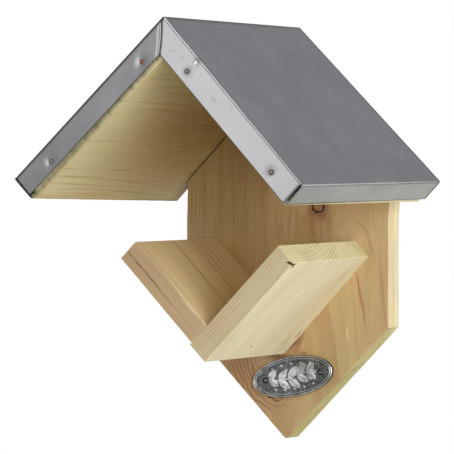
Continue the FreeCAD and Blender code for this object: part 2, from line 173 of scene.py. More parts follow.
class HouseFinishes(PropertyGroup):
    """Colours of the finishes."""

    early_wood: colour("Early wood", "Pale wood between the rings", 222, 206, 153)
    warm_wood: colour("Warm wood", "Heart wood of the back board", 215, 183, 134)
    olive_wood: colour("Olive wood", "Broad faces of the left trough board", 242, 217, 168)
    pink_wood: colour("Pink wood", "Front edge of the left trough board", 204, 169, 130)
    # Also painted light at the front of the roof's underside and a painted highlight along the left trough's
    # arris
    pale_wood: colour("Pale wood", "Sap wood of the right trough board and of sawn edges", 246, 234, 193)
    end_wood: colour("End wood", "Sawn end grain", 248, 242, 192)
    cut_wood: colour("Cut wood", "Slanting cuts at the foot of the back board", 176, 170, 70)
    green_wood: colour("Green wood", "Olive bands and rings in pale end grain", 172, 156, 92)
    # Rough olive end grain, darkened by painted shadow under the left fascia's lower edge
    fuzz_wood: colour("Fuzz wood", "Rough olive front end of the left roof board", 86, 84, 40)
    # Brown for broad grain lines, and painted shade under the roof
    shade_wood: colour("Shade wood", "Wood gone brown in the corners", 160, 122, 62)
    late_wood: colour("Late wood", "Dark line at the end of each ring", 168, 122, 70)
    red_wood: colour("Red wood", "Resinous heart wood and streaks", 182, 128, 92)
    knot_wood: colour("Knot wood", "Rings squeezed beside a knot and dark lines", 104, 66, 36)
    # Painted shade in the torn-out splinter and in the corner beside the back board, not dirt
    torn_wood: colour("Torn wood", "Dirt in torn wood and in dark corners", 112, 86, 50)
    # Darkest brown: the dark ring round a knot and torn fibres, and also painted shade in the right eave's
    # slit and round the nail heads
    bark: colour("Bark", "Dark ring round a knot", 72, 46, 26)
    zinc_light: colour("Light zinc", "Bright clouds of the sheet", 131, 131, 132)
    zinc_dark: colour("Dark zinc", "Dull clouds of the sheet", 121, 121, 123)
    slope_zinc: colour("Slope zinc", "Bluish bloom on the slopes of the sheet", 126, 127, 143)
    # Painted reflection: a warm tint for the downward-facing eave flanges, standing in for the wood they
    # mirror
    flange_reflection_zinc: colour("Flange zinc", "Eave flanges of the sheet", 129, 131, 125)
    # Painted shade along the folds and edges of the sheet and round the nails, not dirt
    zinc_grime: colour("Zinc grime", "Dirt along the folds of the sheet", 58, 58, 60)
    # Painted highlight in the hammer's dent
    zinc_bright: colour("Bright zinc", "Freshly struck zinc", 166, 166, 168)
    scratch: colour("Scratch", "Scuffed marks in the sheet", 82, 82, 84)
    pewter_bright: colour("Bright pewter", "Rubbed high places", 206, 207, 208)
    pewter_dark: colour("Dark pewter", "Stained hollows", 50, 51, 52)
    nail_steel: colour("Nail steel", "Plain steel of nails and screws", 128, 127, 120)
    rust: colour("Rust", "Rust on the nail heads", 142, 72, 44)
    floor: colour("Floor", "Pale studio floor", 178, 178, 176)


class HouseStudio(PropertyGroup):
    """Camera, lamps and floor."""

    camera_side: angle("Camera side", "Camera's angle to the right of the front", 29.317)
    camera_rise: angle("Camera rise", "Camera's angle above the level", 1.236)
    camera_reach: size("Camera reach", "Distance from the camera to its target", 2639.9)
    camera_lens: FloatProperty(name="Lens", description="Focal length", default=314.5, unit="CAMERA")
    target_x: size("Target X", "Camera's target, to the right of the hanger", -4.643)
    target_y: size("Target Y", "Camera's target, behind the wall plane", -89.9)
    target_z: size("Target Z", "Camera's target, above the hanger", -55.66)
    floor_drop: size("Floor drop", "Gap between the house's foot and the floor", 500)
    ambient: amount("Ambient", "Light from all around", 0.09)
    key: amount("Key", "Watts of the large lamp on the right", 25.0)
    top: amount("Top", "Watts of the lamp overhead", 10.0)
    rear: amount("Rear", "Watts of each lamp that lights the back", 6.5)
    flange_card: amount("Flange card", "Watts of the lit card that the right eave flange mirrors", 0.2)
    fascia_card: amount("Fascia card", "Watts of the lit card that the right fascia mirrors", 1.25)


class HouseSettings(PropertyGroup):
    """All settings of the feeding house."""

    sizes: PointerProperty(type=HouseSizes)
    skew: PointerProperty(type=HouseSkew)
    finishes: PointerProperty(type=HouseFinishes)
    studio: PointerProperty(type=HouseStudio)


def settings():
    """The settings in the open scene."""
    return bpy.context.scene.feeding_house


def clamped(value):
    """A value held between 0 and 1."""
    return min(max(value, 0), 1)


# Places on the house

def on_roof(side, along, out, depth):
    """The point that far down a slope from the ridge arris, out from the boards' faces, and at that depth."""
    x = side * (along * COS + out * SIN)
    z = RIDGE.z - along * SIN + out * COS
    return Vector((x, depth, z))


def placed(origin, along, across):
    """The place of a board whose grain runs along one direction and whose width runs across it."""
    along = along.normalized()
    across = across.normalized()
    turn = Matrix((along, across, along.cross(across))).transposed()
    return Matrix.Translation(origin) @ turn.to_4x4()


def facing_front(origin, tilt=0.0):
    """A place that looks out of the front, with its right end turned up by that angle."""
    right = Vector((math.cos(tilt), 0, math.sin(tilt)))
    up = Vector((-math.sin(tilt), 0, math.cos(tilt)))
    return placed(origin, right, up)


def facing_back(origin):
    """A place that looks out of the back."""
    return placed(origin, Vector((1, 0, 0)), Vector((0, 0, -1)))


def askew(point):
    """Where a point of the roof is, on a roof whose corners have each gone a little out of place."""
    skew = settings().skew
    front = clamped(point.y / SHEET_LOW.y)
    down = clamped(abs(point.x) / SHEET_HIGH.x)
    deep = (RIDGE.z - abs(point.x) - point.z) * COS / ROOF_THICKNESS
    ridge_front = Vector(skew.ridge_front).lerp(Vector(skew.apex_front), clamped(deep))
    ridge = Vector(skew.ridge_rear).lerp(ridge_front, front)
    rear, fore = (skew.left_rear, skew.left_front) if point.x < 0 else (skew.right_rear, skew.right_front)
    right, up = ridge.lerp(Vector(rear).lerp(Vector(fore), front), down)
    return point + Vector((right, 0, up))


def twisted(point):
    """Where a point of the right trough board is, on a board turned inwards towards the wall and the top."""
    inner_share, foot_share = 0.7, 0.3
    rear = (point.y - TRAY_LOW.y) / (TRAY_HIGH.y - TRAY_LOW.y)
    outer = (point.x - point.z + TROUGH.z) * COS / TRAY_THICKNESS
    up = (point.x + point.z - TROUGH.z) * COS / TRAY_SLOPE
    turn = settings().sizes.trough_twist * rear * inner_share * (1 + outer)
    turn *= foot_share + (1 - foot_share) * up
    return point + Vector((-COS, 0, SIN)) * turn


def fascia_depth(out):
    """Depth of a fascia's outer face below its fold, that far out from the boards."""
    sizes = settings().sizes
    bend = math.pi / 2 - sizes.fascia_flare
    fold_out = sizes.sheet_stand - sizes.fold_radius * (1 - math.cos(bend))
    fold_depth = SHEET_LOW.y + sizes.fold_radius * (1 - math.sin(bend))
    return fold_depth - (fold_out - out) * math.tan(sizes.fascia_flare)


def nail_dent(side):
    """How deep a nail draws the fascia on that side in."""
    sizes = settings().sizes
    return sizes.dent_left if side == LEFT else sizes.dent_right


def node_mesh(node):
    """The mesh of a node in the frame, with points that lie on each other made one."""
    bm = bmesh.new()
    bm.from_mesh(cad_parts[node].data)
    bmesh.ops.remove_doubles(bm, verts=bm.verts, dist=WELD)
    return bm


def solids_of(node):
    """The box of each separate solid in a node of the frame, from left to right."""
    bm = node_mesh(node)
    rest = set(bm.verts)
    boxes = []
    while rest:
        island = {rest.pop()}
        fresh = list(island)
        while fresh:
            vertex = fresh.pop()
            for link in vertex.link_edges:
                other = link.other_vert(vertex)
                if other not in island:
                    island.add(other)
                    fresh.append(other)
        rest -= island
        points = [vertex.co for vertex in island]
        low = Vector(min(point[axis] for point in points) for axis in range(3))
        high = Vector(max(point[axis] for point in points) for axis in range(3))
        boxes.append((low, high))
    bm.free()
    return sorted(boxes, key=lambda box: box[0].x)


def middle_of(box):
    """The middle of a box between two corners."""
    return (box[0] + box[1]) / 2


def half_width(box):
    """Half the width of a box between two corners."""
    return (box[1].x - box[0].x) / 2


# Meshes

def new_piece(name, bm, place=None):
    """An object with that mesh, smooth shaded, at that place in the row frame."""
    mesh = bpy.data.meshes.new(name)
    bm.to_mesh(mesh)
    bm.free()
    mesh.shade_smooth()
    piece = bpy.data.objects.new(name, mesh)
    bpy.context.scene.collection.objects.link(piece)
    if place is not None:
        piece.matrix_world = place
    bpy.context.view_layer.update()
    return piece


def apply_modifiers(piece):
    """Replaces a piece's mesh by what its modifiers make of it."""
    bpy.context.view_layer.update()
    graph = bpy.context.evaluated_depsgraph_get()
    mesh = bpy.data.meshes.new_from_object(piece.evaluated_get(graph))
    old = piece.data
    piece.modifiers.clear()
    piece.data = mesh
    bpy.data.meshes.remove(old)
    mesh.name = piece.name


def cut_away(piece, bm, place):
    """Cuts a mesh at that place out of a piece, and clears faces with no area off the cut."""
    cutter = new_piece("cutter", bm, place)
    tool = piece.modifiers.new("cut", "BOOLEAN")
    tool.operation = "DIFFERENCE"
    tool.solver = "EXACT"
    tool.object = cutter
    apply_modifiers(piece)
    bpy.data.objects.remove(cutter)
    cut = bmesh.new()
    cut.from_mesh(piece.data)
    bmesh.ops.dissolve_degenerate(cut, dist=HAIR, edges=cut.edges)
    cut.to_mesh(piece.data)
    cut.free()


def even_normals(piece):
    """Keeps broad faces flat to the eye while their rounded arrises stay smooth."""
    tool = piece.modifiers.new("even_normals", "WEIGHTED_NORMAL")
    tool.keep_sharp = True
    apply_modifiers(piece)


def hand_over(piece, material, slot, *nodes):
    """Gives a finished piece its material, hides the nodes of the frame that it stands for, and lets it ride;
    the slot is not used.
    """
    piece.data.materials.clear()
    piece.data.materials.append(material)
    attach(piece, BODY)
    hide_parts(*nodes)


def slice_up(bm, axis, step):
    """Cuts a mesh into slices of about that width along one axis."""
    low = min(vertex.co[axis] for vertex in bm.verts)
    high = max(vertex.co[axis] for vertex in bm.verts)
    count = max(round((high - low) / step), 1)
    normal = Vector((0, 0, 0))
    normal[axis] = 1
    for number in range(1, count):
        at = normal * (low + (high - low) * number / count)
        everything = [*bm.verts, *bm.edges, *bm.faces]
        bmesh.ops.bisect_plane(bm, geom=everything, plane_co=at, plane_no=normal, dist=HAIR)


def rectangle(left, low, right, high):
    """The outline of a rectangle between two corners."""
    return [(left, low), (right, low), (right, high), (left, high)]


def prism(outline, low, high):
    """A mesh of that outline in its own plane, from low to high."""
    bm = bmesh.new()
    floor = bm.faces.new([bm.verts.new((x, y, low)) for x, y in outline])
    grown = bmesh.ops.extrude_face_region(bm, geom=[floor])["geom"]
    risen = [item for item in grown if isinstance(item, bmesh.types.BMVert)]
    bmesh.ops.translate(bm, vec=(0, 0, high - low), verts=risen)
    bmesh.ops.recalc_face_normals(bm, faces=bm.faces)
    return bm


def sawn_board(name, outline, low, high, place):
    """A board with that outline along and across its grain, with its arrises rounded and a little worn."""
    sizes = settings().sizes
    square, flat = math.radians(30), math.radians(8)
    wear_scale, least_rub = 0.22 / MM, -0.3
    bm = prism(outline, low, high)
    arrises = [edge for edge in bm.edges if edge.calc_face_angle() > square]
    bmesh.ops.bevel(bm, geom=arrises, offset=sizes.arris_ease, segments=2, profile=0.5, affect="EDGES")
    for axis in (0, 1):
        slice_up(bm, axis, sizes.board_step)
    bm.normal_update()
    for vertex in bm.verts:
        if max(face.normal.angle(vertex.normal) for face in vertex.link_faces) > flat:
            rub = noise.noise(vertex.co * wear_scale + Vector((len(name), 0, 0)))
            vertex.co -= vertex.normal * sizes.arris_wear * max(rub, least_rub)
    return new_piece(name, bm, place)


def moved(piece, shift):
    """Moves each point of a piece to where a rule in the row frame sends it."""
    back = piece.matrix_world.inverted()
    for vertex in piece.data.vertices:
        vertex.co = back @ shift(piece.matrix_world @ vertex.co)


def oval_ring(bm, half_wide, half_high, height, turns):
    """A ring of new vertices on an oval round the mesh's own Z axis."""
    ways = [math.tau * number / turns for number in range(turns)]
    return [bm.verts.new((half_wide * math.cos(way), half_high * math.sin(way), height)) for way in ways]


def bridge(bm, first, second, closed=False):
    """Faces between two rows of vertices, or between two closed rings of them."""
    count = len(first)
    for number in range(count if closed else count - 1):
        after = (number + 1) % count
        corners = (first[number], first[after], second[after], second[number])
        bm.faces.new(list(dict.fromkeys(corners)))


def turned(profile, turns=24):
    """A mesh turned about its own Z axis from pairs of radius and height, closed at both ends."""
    bm = bmesh.new()
    rings = []
    for radius, height in profile:
        if radius == 0:
            rings.append([bm.verts.new((0, 0, height))] * turns)
        else:
            rings.append(oval_ring(bm, radius, radius, height, turns))
    for upper, lower in zip(rings, rings[1:]):
        bridge(bm, upper, lower, closed=True)
    bmesh.ops.recalc_face_normals(bm, faces=bm.faces)
    return bm


# Materials

class Recipe:
    """A material's nodes, added and joined in short words."""

    def __init__(self, name):
        self.material = bpy.data.materials.new(name)
        self.material.use_nodes = True
        self.nodes = self.material.node_tree.nodes
        self.links = self.material.node_tree.links
        self.shader = self.nodes["Principled BSDF"]

    def feed(self, socket, value):
        """Joins a socket to another node, or sets it to a number, a colour or a vector."""
        if isinstance(value, bpy.types.NodeSocket):
            self.links.new(value, socket)
        elif socket.type == "RGBA" and len(value) == 3:
            socket.default_value = (*value, 1)
        else:
            socket.default_value = value

    def add(self, kind, *values, **options):
        """A node of that kind, with its first inputs fed in order."""
        node = self.nodes.new(kind)
        for name, option in options.items():
            setattr(node, name, option)
        for socket, value in zip(node.inputs, values):
            self.feed(socket, value)
        return node

    def surface(self, **values):
        """Feeds the shader's sockets by name, with an underscore for each space."""
        for name, value in values.items():
            self.feed(self.shader.inputs[name.replace("_", " ")], value)
        return self.material

    def maths(self, operation, *values):
        """One step of arithmetic."""
        return self.add("ShaderNodeMath", *values, operation=operation).outputs[0]

    def times(self, first, second):
        return self.maths("MULTIPLY", first, second)

    def plus(self, first, second):
        return self.maths("ADD", first, second)

    def minus(self, first, second):
        return self.maths("SUBTRACT", first, second)

    def vector(self, operation, *values):
        """One step of arithmetic with vectors, which gives a vector."""
        return self.add("ShaderNodeVectorMath", *values, operation=operation).outputs[0]

    def measure(self, operation, *values):
        """One step of arithmetic with vectors, which gives a number."""
        return self.add("ShaderNodeVectorMath", *values, operation=operation).outputs["Value"]

    def join(self, *numbers):
        return self.add("ShaderNodeCombineXYZ", *numbers).outputs[0]

    def parts(self, vector):
        return self.add("ShaderNodeSeparateXYZ", vector).outputs[:3]

    def span(self, value, from_low, from_high, to_low=0.0, to_high=1.0):
        """Carries a range of values smoothly over to another range, and holds it at both ends."""
        node = self.add("ShaderNodeMapRange", value, from_low, from_high, to_low, to_high)
        node.interpolation_type = "SMOOTHSTEP"
        return node.outputs[0]

    def place(self):
        """The point being shaded, in the piece's own millimetres."""
        where = self.add("ShaderNodeTexCoord").outputs["Object"]
        return self.stretch(where, (1 / MM, 1 / MM, 1 / MM))

    def stretch(self, vector, factors, shift=0.0):
        """A vector multiplied axis by axis, and then moved along all axes."""
        return self.vector("MULTIPLY_ADD", vector, factors, (shift, shift, shift))

    def facing(self):
        """The three parts of the surface's direction, in the piece's own axes."""
        return self.parts(self.add("ShaderNodeTexCoord").outputs["Normal"])

    def mark(self, name):
        """What the points of the mesh were marked with under that name."""
        return self.add("ShaderNodeAttribute", attribute_name=name).outputs["Fac"]

    def grain_noise(self, vector, detail=2.0, roughness=0.5):
        """Soft three-dimensional noise about 0.5: the plain value and a vector of three."""
        node = self.add("ShaderNodeTexNoise")
        self.feed(node.inputs["Vector"], vector)
        self.feed(node.inputs["Scale"], 1.0)
        self.feed(node.inputs["Detail"], detail)
        self.feed(node.inputs["Roughness"], roughness)
        return node.outputs["Fac"], node.outputs["Color"]

    def mottle(self, vector, factors, shift=0.0, detail=2.0, roughness=0.5):
        """Soft noise about 0.5, stretched axis by axis and moved along."""
        return self.grain_noise(self.stretch(vector, factors, shift), detail, roughness)[0]

    def line_noise(self, value):
        """Soft noise along one number."""
        node = self.add("ShaderNodeTexNoise", noise_dimensions="1D")
        self.feed(node.inputs["W"], value)
        self.feed(node.inputs["Scale"], 1.0)
        self.feed(node.inputs["Detail"], 1.0)
        return node.outputs["Fac"]

    def blend(self, factor, first, second, way="MIX"):
        """One colour laid over another."""
        node = self.nodes.new("ShaderNodeMix")
        node.data_type = "RGBA"
        node.blend_type = way
        self.feed(node.inputs["Factor"], factor)
        self.feed(node.inputs[6], first)
        self.feed(node.inputs[7], second)
        return node.outputs[2]

    def spot(self, place, middle, reach, slant=0.0):
        """1 at the middle of an oval spot, falling off softly to 0 about a reach away."""
        far = self.oval(place, middle, reach, slant)
        return self.maths("EXPONENT", self.times(self.times(far, far), -1.0))

    def oval(self, place, middle, reach, slant=0.0):
        """Distance from an oval's middle in half axes; with two of them it goes right through a board."""
        middle = (*middle, 0)[:3]
        reach = (*reach, ENDLESS)[:3]
        away = self.vector("SUBTRACT", place, middle)
        if slant:
            lean = self.measure("DOT_PRODUCT", away, (-slant, 0, 0))
            away = self.vector("ADD", away, self.join(0.0, lean, 0.0))
        return self.measure("LENGTH", self.vector("DIVIDE", away, reach))

    def relief(self, height, distance):
        """Lets a height show as fine relief, with that many millimetres for a height of 1."""
        node = self.add("ShaderNodeBump")
        self.feed(node.inputs["Distance"], distance * MM)
        self.feed(node.inputs["Height"], height)
        self.feed(self.shader.inputs["Normal"], node.outputs["Normal"])


@dataclass
class Knot:
    """A branch cut across: its middle along and across the grain, and its half axes."""

    middle: tuple
    half: tuple


@dataclass
class Streak:
    """A streak of another colour: its middle along, across and maybe through the board, its reach, strength
    and finish, and how far it leans across for each millimetre along."""

    middle: tuple
    reach: tuple
    strength: float
    finish: str = "red_wood"
    slant: float = 0.0


@dataclass
class Swirl:
    """Rings crowded round a hidden branch: its middle, their spacing, and the zones that show them dark."""

    middle: tuple
    ring: float
    zones: tuple


@dataclass
class Grain:
    """How one board was sawn from its log; lengths are in millimetres."""

    pith: tuple
    ring: float
    seed: float
    face: str = "early_wood"
    edge: str = "pale_wood"
    end: str = "end_wood"
    edge_share: float = 0.7
    end_share: float = 0.7
    taper: float = 0.0
    waver: float = 5.0
    uneven: float = 2.2
    onset: float = 0.6
    least: float = 0.18
    contrast: float = 0.4
    edge_contrast: float = 0.0
    end_contrast: float = 0.5
    figure: float = 1.0
    red: float = 0.1
    green: float = 0.0
    knots: tuple = ()
    swirls: tuple = ()
    streaks: tuple = ()


# Faces that hairs lie on, by their place through the board in millimetres
BACK_FRONT, ROOF_UNDER, TRAY_INNER, TRAY_OUTER = -16, -18, 0, -15


def hairs(through, *lines, wide=0.6, strength=0.6, finish="late_wood"):
    """Fine lines on one face of a board: the middle along and across of each, its reach and its slant."""
    deep = 4
    return [Streak((along, across, through), (reach, wide, deep), strength, finish, slant)
            for along, across, reach, slant in lines]


def fringe(count):
    """Rough tufts along the front end of the left roof board, partly painted shadow under the fascia's lower
    edge.
    """
    return [Streak((-189.5, 6 * number + 3 * math.sin(3 * number), -16.5),
                   (1.9, 1.0 + 0.4 * math.sin(5 * number), 3.0), 0.35, "fuzz_wood")
            for number in range(1, count + 1)]


BACK_GRAIN = Grain(
    pith=(14, 34), ring=5.2, seed=3.1, face="warm_wood", end="cut_wood", edge_share=0.55, taper=0.05,
    waver=9, contrast=0.5, edge_contrast=0.15, figure=0.6, red=0.35, green=0.3,
    knots=(Knot(middle=(-43.0, 24.9), half=(4.3, 5.0)),),
    swirls=(
        Swirl(middle=(-134.5, -7.4), ring=2.8,
              zones=(Streak((-159, -33.6), (18, 12), 1.6), Streak((-175.8, -14), (6, 11), 1.6))),
        Swirl(middle=(-43, 24.9), ring=2.2, zones=(Streak((-51, 27.5), (3.5, 4.5), 0.6),)),
    ),
    streaks=(
        Streak((-130, 48), (75, 42), 0.3, "early_wood"),
        # Painted shade on the back board under the left roof
        Streak((5, -52), (45, 40), 0.35, "shade_wood"),
        Streak((-90, 77, -3), (400, 4, 5), 0.6, "end_wood"),
        Streak((-90, 78, -8.3), (400, 3, 0.4), 0.45, "late_wood"),
        Streak((-50, 24.5), (8, 8), 0.6),
        Streak((-47.5, 19.5), (3, 3), 0.45, "knot_wood"),
        Streak((-48.5, 28.5), (3, 2.4), 0.55, "knot_wood"),
        Streak((-54, 19.3), (7, 1.6), 0.6),
        Streak((-55, 32.6), (8, 2.0), 0.6),
        Streak((-158, -36), (22, 13), 0.6),
        Streak((-61, 20.8), (6, 0.7), 0.8, slant=-0.12),
        Streak((-60.4, 27.6), (7, 0.7), 0.7, slant=-0.12),
        *hairs(BACK_FRONT, (-43, -73.9, 26, 0.01), (-45, -70.4, 24, -0.01), (-47, -67.8, 22, 0.02),
               (-40, -63.9, 26, 0.01), (-34.5, -57.4, 5, -0.1), (-58, -56, 12, 0.03), strength=0.45),
        *hairs(BACK_FRONT, (-36, -50.8, 36, 0.01), (-30, -41.6, 36, -0.02), (-34, -31.6, 38, 0.01),
               (-30, -18, 36, 0.02), wide=2.2, strength=0.4, finish="shade_wood"),
        *hairs(BACK_FRONT, (-40, -46, 34, 0.01), (-38, -36.5, 34, 0.0), (-40, -25, 36, 0.02),
               wide=2.6, strength=0.35, finish="green_wood"),
        *hairs(BACK_FRONT, (-52, -8, 7, 0.06), (-57, -3, 8, -0.04), (-53, 2.4, 8, 0.05),
               (-61, -6, 6, 0.0), (-50, 8, 6, 0.08), wide=0.8, strength=0.7, finish="red_wood"),
        Streak((-56, 58.2), (4, 0.7), 0.7, "late_wood", slant=-1.0),
        Streak((-68, 64.3), (10, 0.8), 0.6, "late_wood", slant=-0.33),
        Streak((-99, 74), (26, 0.8), 0.6, slant=-0.1),
        Streak((-96.6, 55.8), (12, 0.9), 1.0, slant=-0.18),
        Streak((-112, 59), (12, 0.9), 0.9, slant=-0.22),
        Streak((-128, 47), (4, 0.7), 0.8, "pale_wood"),
        *hairs(BACK_FRONT, (-136.7, 6.6, 4.6, 0.95), wide=1.9, strength=0.9, finish="bark"),
        *hairs(BACK_FRONT, (-140.8, 7.0, 2.6, 0.0), wide=1.8, strength=0.9, finish="red_wood"),
        *hairs(BACK_FRONT, (-135.3, 11.4, 5.5, 0.38), (-136.3, 9.3, 4.5, 0.36),
               wide=0.55, strength=0.9, finish="knot_wood"),
        # Painted shadow of the plaque's rim
        *hairs(BACK_FRONT, (-142.6, 13.5, 1.4, 0.0), wide=3.0, strength=0.9),
        # Dark reddish wood and painted shadow between the trough's foot and the plaque
        *hairs(BACK_FRONT, (-145.4, -6.0, 2.6, 0.0), wide=10.0, strength=0.9, finish="knot_wood"),
    ),
)
ROOF_GRAINS = {
    "left": Grain(
        pith=(70, -62), ring=5.0, seed=15.3, end_share=0.5, waver=9, onset=0.8, least=0.1, contrast=0.5,
        figure=0.6, red=0.06,
        streaks=(
            # Painted shade deep under the roof, towards the wall
            Streak((-56, 74), (94, 60), 0.78, "shade_wood"),
            # Painted light at the front of the underside, where the lamp reaches
            Streak((-178, 80, ROOF_UNDER), (36, 110, 30), 0.35, "pale_wood"),
            # Painted shadow of the back board on the underside beside it
            Streak((-5, 112, ROOF_UNDER), (11, 80, 30), 0.75, "torn_wood"),
            Streak((-95, 150, ROOF_UNDER), (200, 1.0, 30), 0.5, "knot_wood"),
            Streak((-150, 146, ROOF_UNDER), (60, 0.8, 30), 0.5),
            # Rough end grain and painted shadow under the left fascia's lower edge
            Streak((-190, 75, -16.0), (1.5, 300, 3.0), 1.0, "fuzz_wood"),
            Streak((-188, 150, -16.5), (4.0, 18, 3.0), 0.3, "green_wood"),
            *fringe(24),
            *hairs(ROOF_UNDER, (-168, 34, 16, 0.04), (-155, 41, 28, 0.045), (-126, 48.5, 18, 0.05),
                   (-140, 57, 44, 0.035), (-123, 64, 38, 0.06), (-131, 72, 6, 0.0)),
            *hairs(ROOF_UNDER, (-182, 120, 12, 0.02), (-118, 120.5, 17, 0.02), (-165, 127.5, 26, 0.03),
                   (-145, 135, 36, 0.033), (-78, 133, 60, 0.076), (-150, 139.5, 18, 0.02),
                   (-80, 142, 52, 0.07), (-133, 143.5, 30, 0.027), (-42, 128, 24, 0.085)),
        ),
    ),
    "right": Grain(
        pith=(60, 70), ring=5.6, seed=23.4, waver=6, contrast=0.5, red=0.15,
        # Painted shade inside the slit at the right eave
        streaks=(Streak((-184, 149, 7), (12, 5, 6), 1.0, "bark"),),
    ),
}
TRAY_GRAINS = {
    "left": Grain(
        pith=(70, -40), ring=9.5, seed=37.9, face="olive_wood", edge="pink_wood", waver=9, onset=0.86,
        contrast=0.3, end_contrast=0.15, figure=0.8, red=0.12,
        streaks=(
            *hairs(TRAY_INNER, (45, -77, 34, 0.02), (50, -53, 28, 0.01), (55, -46, 20, 0.0),
                   (58, -38, 18, 0.01), (58, -32, 16, 0.0), (58, -27, 14, 0.0),
                   strength=0.5, finish="knot_wood"),
            Streak((45, -126, TRAY_INNER), (34, 4, 4), 0.5, "pink_wood", slant=0.12),
            Streak((60, -126, 9), (30, 3, 0.45), 1.0, "knot_wood"),
            # Painted highlight along the front arris on the inner face
            Streak((28, -124.2, TRAY_INNER), (32, 1.3, 1.5), 0.9, "pale_wood", slant=0.17),
            *hairs(TRAY_INNER, (42, -120.7, 12, 0.0), wide=0.5, strength=0.7, finish="knot_wood"),
        ),
    ),
    "right": Grain(
        pith=(-112, 110), ring=2.0, seed=51.2, face="pale_wood", edge="warm_wood", edge_share=0.35,
        end_share=1.0, waver=3, uneven=0.7, onset=0.74, least=0.6, contrast=0.07, edge_contrast=0.85,
        end_contrast=0.65, figure=0.6, red=0.1,
        streaks=(
            Streak((2, -122), (16, 7), 0.2),
            *hairs(TRAY_OUTER, (1.6, -21.1, 3.6, -0.17), wide=0.8, strength=1.0, finish="bark"),
            *hairs(TRAY_OUTER, (-13, -26.6, 3.5, 0.0), (-4.5, -34, 3, 0.1), (-3, -30, 4, 0.1),
                   (-9, -28, 4, 0.0), (-12, -22, 3.5, 0.0), strength=0.7, finish="green_wood"),
        ),
    ),
}


def swayed(recipe, place, scale, sway, seed):
    """A place that sways across and through the board, slowly along the grain."""
    drift = recipe.grain_noise(recipe.stretch(place, scale, seed))[1]
    middle = -sway / 2
    drift = recipe.vector("MULTIPLY_ADD", drift, (0, sway, sway), (0, middle, middle))
    return recipe.vector("ADD", place, drift)


def ring_years(recipe, grain, place):
    """Years counted out from the pith, through the whole board."""
    along, across, through = recipe.parts(place)
    aside = recipe.minus(across, grain.pith[0])
    deep = recipe.minus(through, grain.pith[1])
    radius = recipe.maths("SQRT", recipe.plus(recipe.times(aside, aside), recipe.times(deep, deep)))
    radius = recipe.plus(radius, recipe.times(along, grain.taper))
    years = recipe.maths("DIVIDE", radius, grain.ring)
    uneven = recipe.line_noise(recipe.plus(recipe.times(years, 0.55), grain.seed))
    return recipe.plus(years, recipe.times(recipe.minus(uneven, 0.5), grain.uneven))


def late_wood(recipe, grain, years, place, onset, least):
    """The dark line at the end of each year, strong in few years and faint in most, and where it is worn."""
    season = recipe.maths("FRACT", years)
    rise = recipe.span(season, onset, 0.93)
    late = recipe.times(recipe.times(rise, rise), recipe.span(season, 0.95, 1.0, 1.0, 0.0))
    year = recipe.times(recipe.maths("FLOOR", years), 7.3)
    vigour = recipe.span(recipe.line_noise(recipe.plus(year, grain.seed)), 0.42, 0.66, least, 1.0)
    worn = recipe.mottle(place, (0.012, 0.04, 0.04), grain.seed + 13)
    return recipe.times(late, vigour), recipe.span(worn, 0.36, 0.6, 0.35, 1.0)


def knot_tint(recipe, finishes, knot, place, tint):
    """Lays a knot over the wood: thin rings, a ring of dark bark round its heart, and a reddish halo."""
    rough = recipe.mottle(place, (0.45, 0.45, 0.0), 3.0, detail=3.0, roughness=0.6)
    far = recipe.oval(place, knot.middle, knot.half)
    far = recipe.plus(far, recipe.times(recipe.minus(rough, 0.5), 0.65))
    season = recipe.maths("FRACT", recipe.times(far, 2.7))
    rings = recipe.times(recipe.span(season, 0.5, 0.85), recipe.span(season, 0.9, 1.0, 1.0, 0.0))
    bark = recipe.times(recipe.span(far, 0.6, 0.82), recipe.span(far, 1.0, 1.12, 1.0, 0.0))
    tint = recipe.blend(recipe.span(far, 1.0, 2.2, 0.6, 0.0), tint, finishes.red_wood)
    tint = recipe.blend(recipe.times(rings, recipe.span(far, 1.0, 2.1, 0.7, 0.0)), tint, finishes.knot_wood)
    return recipe.blend(bark, tint, finishes.bark)


def swirl_tint(recipe, finishes, grain, swirl, place, tint):
    """Lays crowded dark rings over the wood where a swirl's zones let them show."""
    wobble = recipe.mottle(place, (0.07, 0.1, 0.0), grain.seed + 21)
    far = recipe.oval(place, swirl.middle, (1.6, 1.0))
    far = recipe.plus(far, recipe.times(recipe.minus(wobble, 0.5), 6.0))
    late = late_wood(recipe, grain, recipe.maths("DIVIDE", far, swirl.ring), place, 0.3, 0.5)[0]
    shown = 0.0
    for zone in swirl.zones:
        shown = recipe.plus(recipe.times(recipe.spot(place, zone.middle, zone.reach), zone.strength), shown)
    shown = recipe.maths("MINIMUM", shown, 1.0)
    tint = recipe.blend(recipe.times(shown, 0.3), tint, finishes.red_wood)
    return recipe.blend(recipe.times(shown, late), tint, finishes.knot_wood)


def ground_tint(recipe, finishes, grain, edge, end, cloud):
    """The plain colours of a board's faces, edges and ends, with reddish and olive clouds."""
    face_wood, edge_wood, end_wood = (getattr(finishes, name) for name in (grain.face, grain.edge, grain.end))
    tint = recipe.blend(recipe.times(edge, grain.edge_share), face_wood, edge_wood)
    tint = recipe.blend(recipe.times(end, grain.end_share), tint, end_wood)
    reddish = recipe.times(recipe.span(cloud, 0.48, 0.72), grain.red)
    tint = recipe.blend(reddish, tint, finishes.red_wood)
    olive = recipe.times(recipe.span(cloud, 0.3, 0.5, 1.0, 0.0), grain.green)
    return recipe.blend(olive, tint, finishes.green_wood)


def streak_tint(recipe, finishes, grain, place, fibre, tint):
    """Lays a board's streaks over its colours, broken up by the fibres."""
    broken = recipe.span(fibre, 0.3, 0.6, 0.6, 1.0)
    for streak in grain.streaks:
        ragged = recipe.times(recipe.spot(place, streak.middle, streak.reach, streak.slant), broken)
        tint = recipe.blend(recipe.times(ragged, streak.strength), tint, getattr(finishes, streak.finish))
    return tint


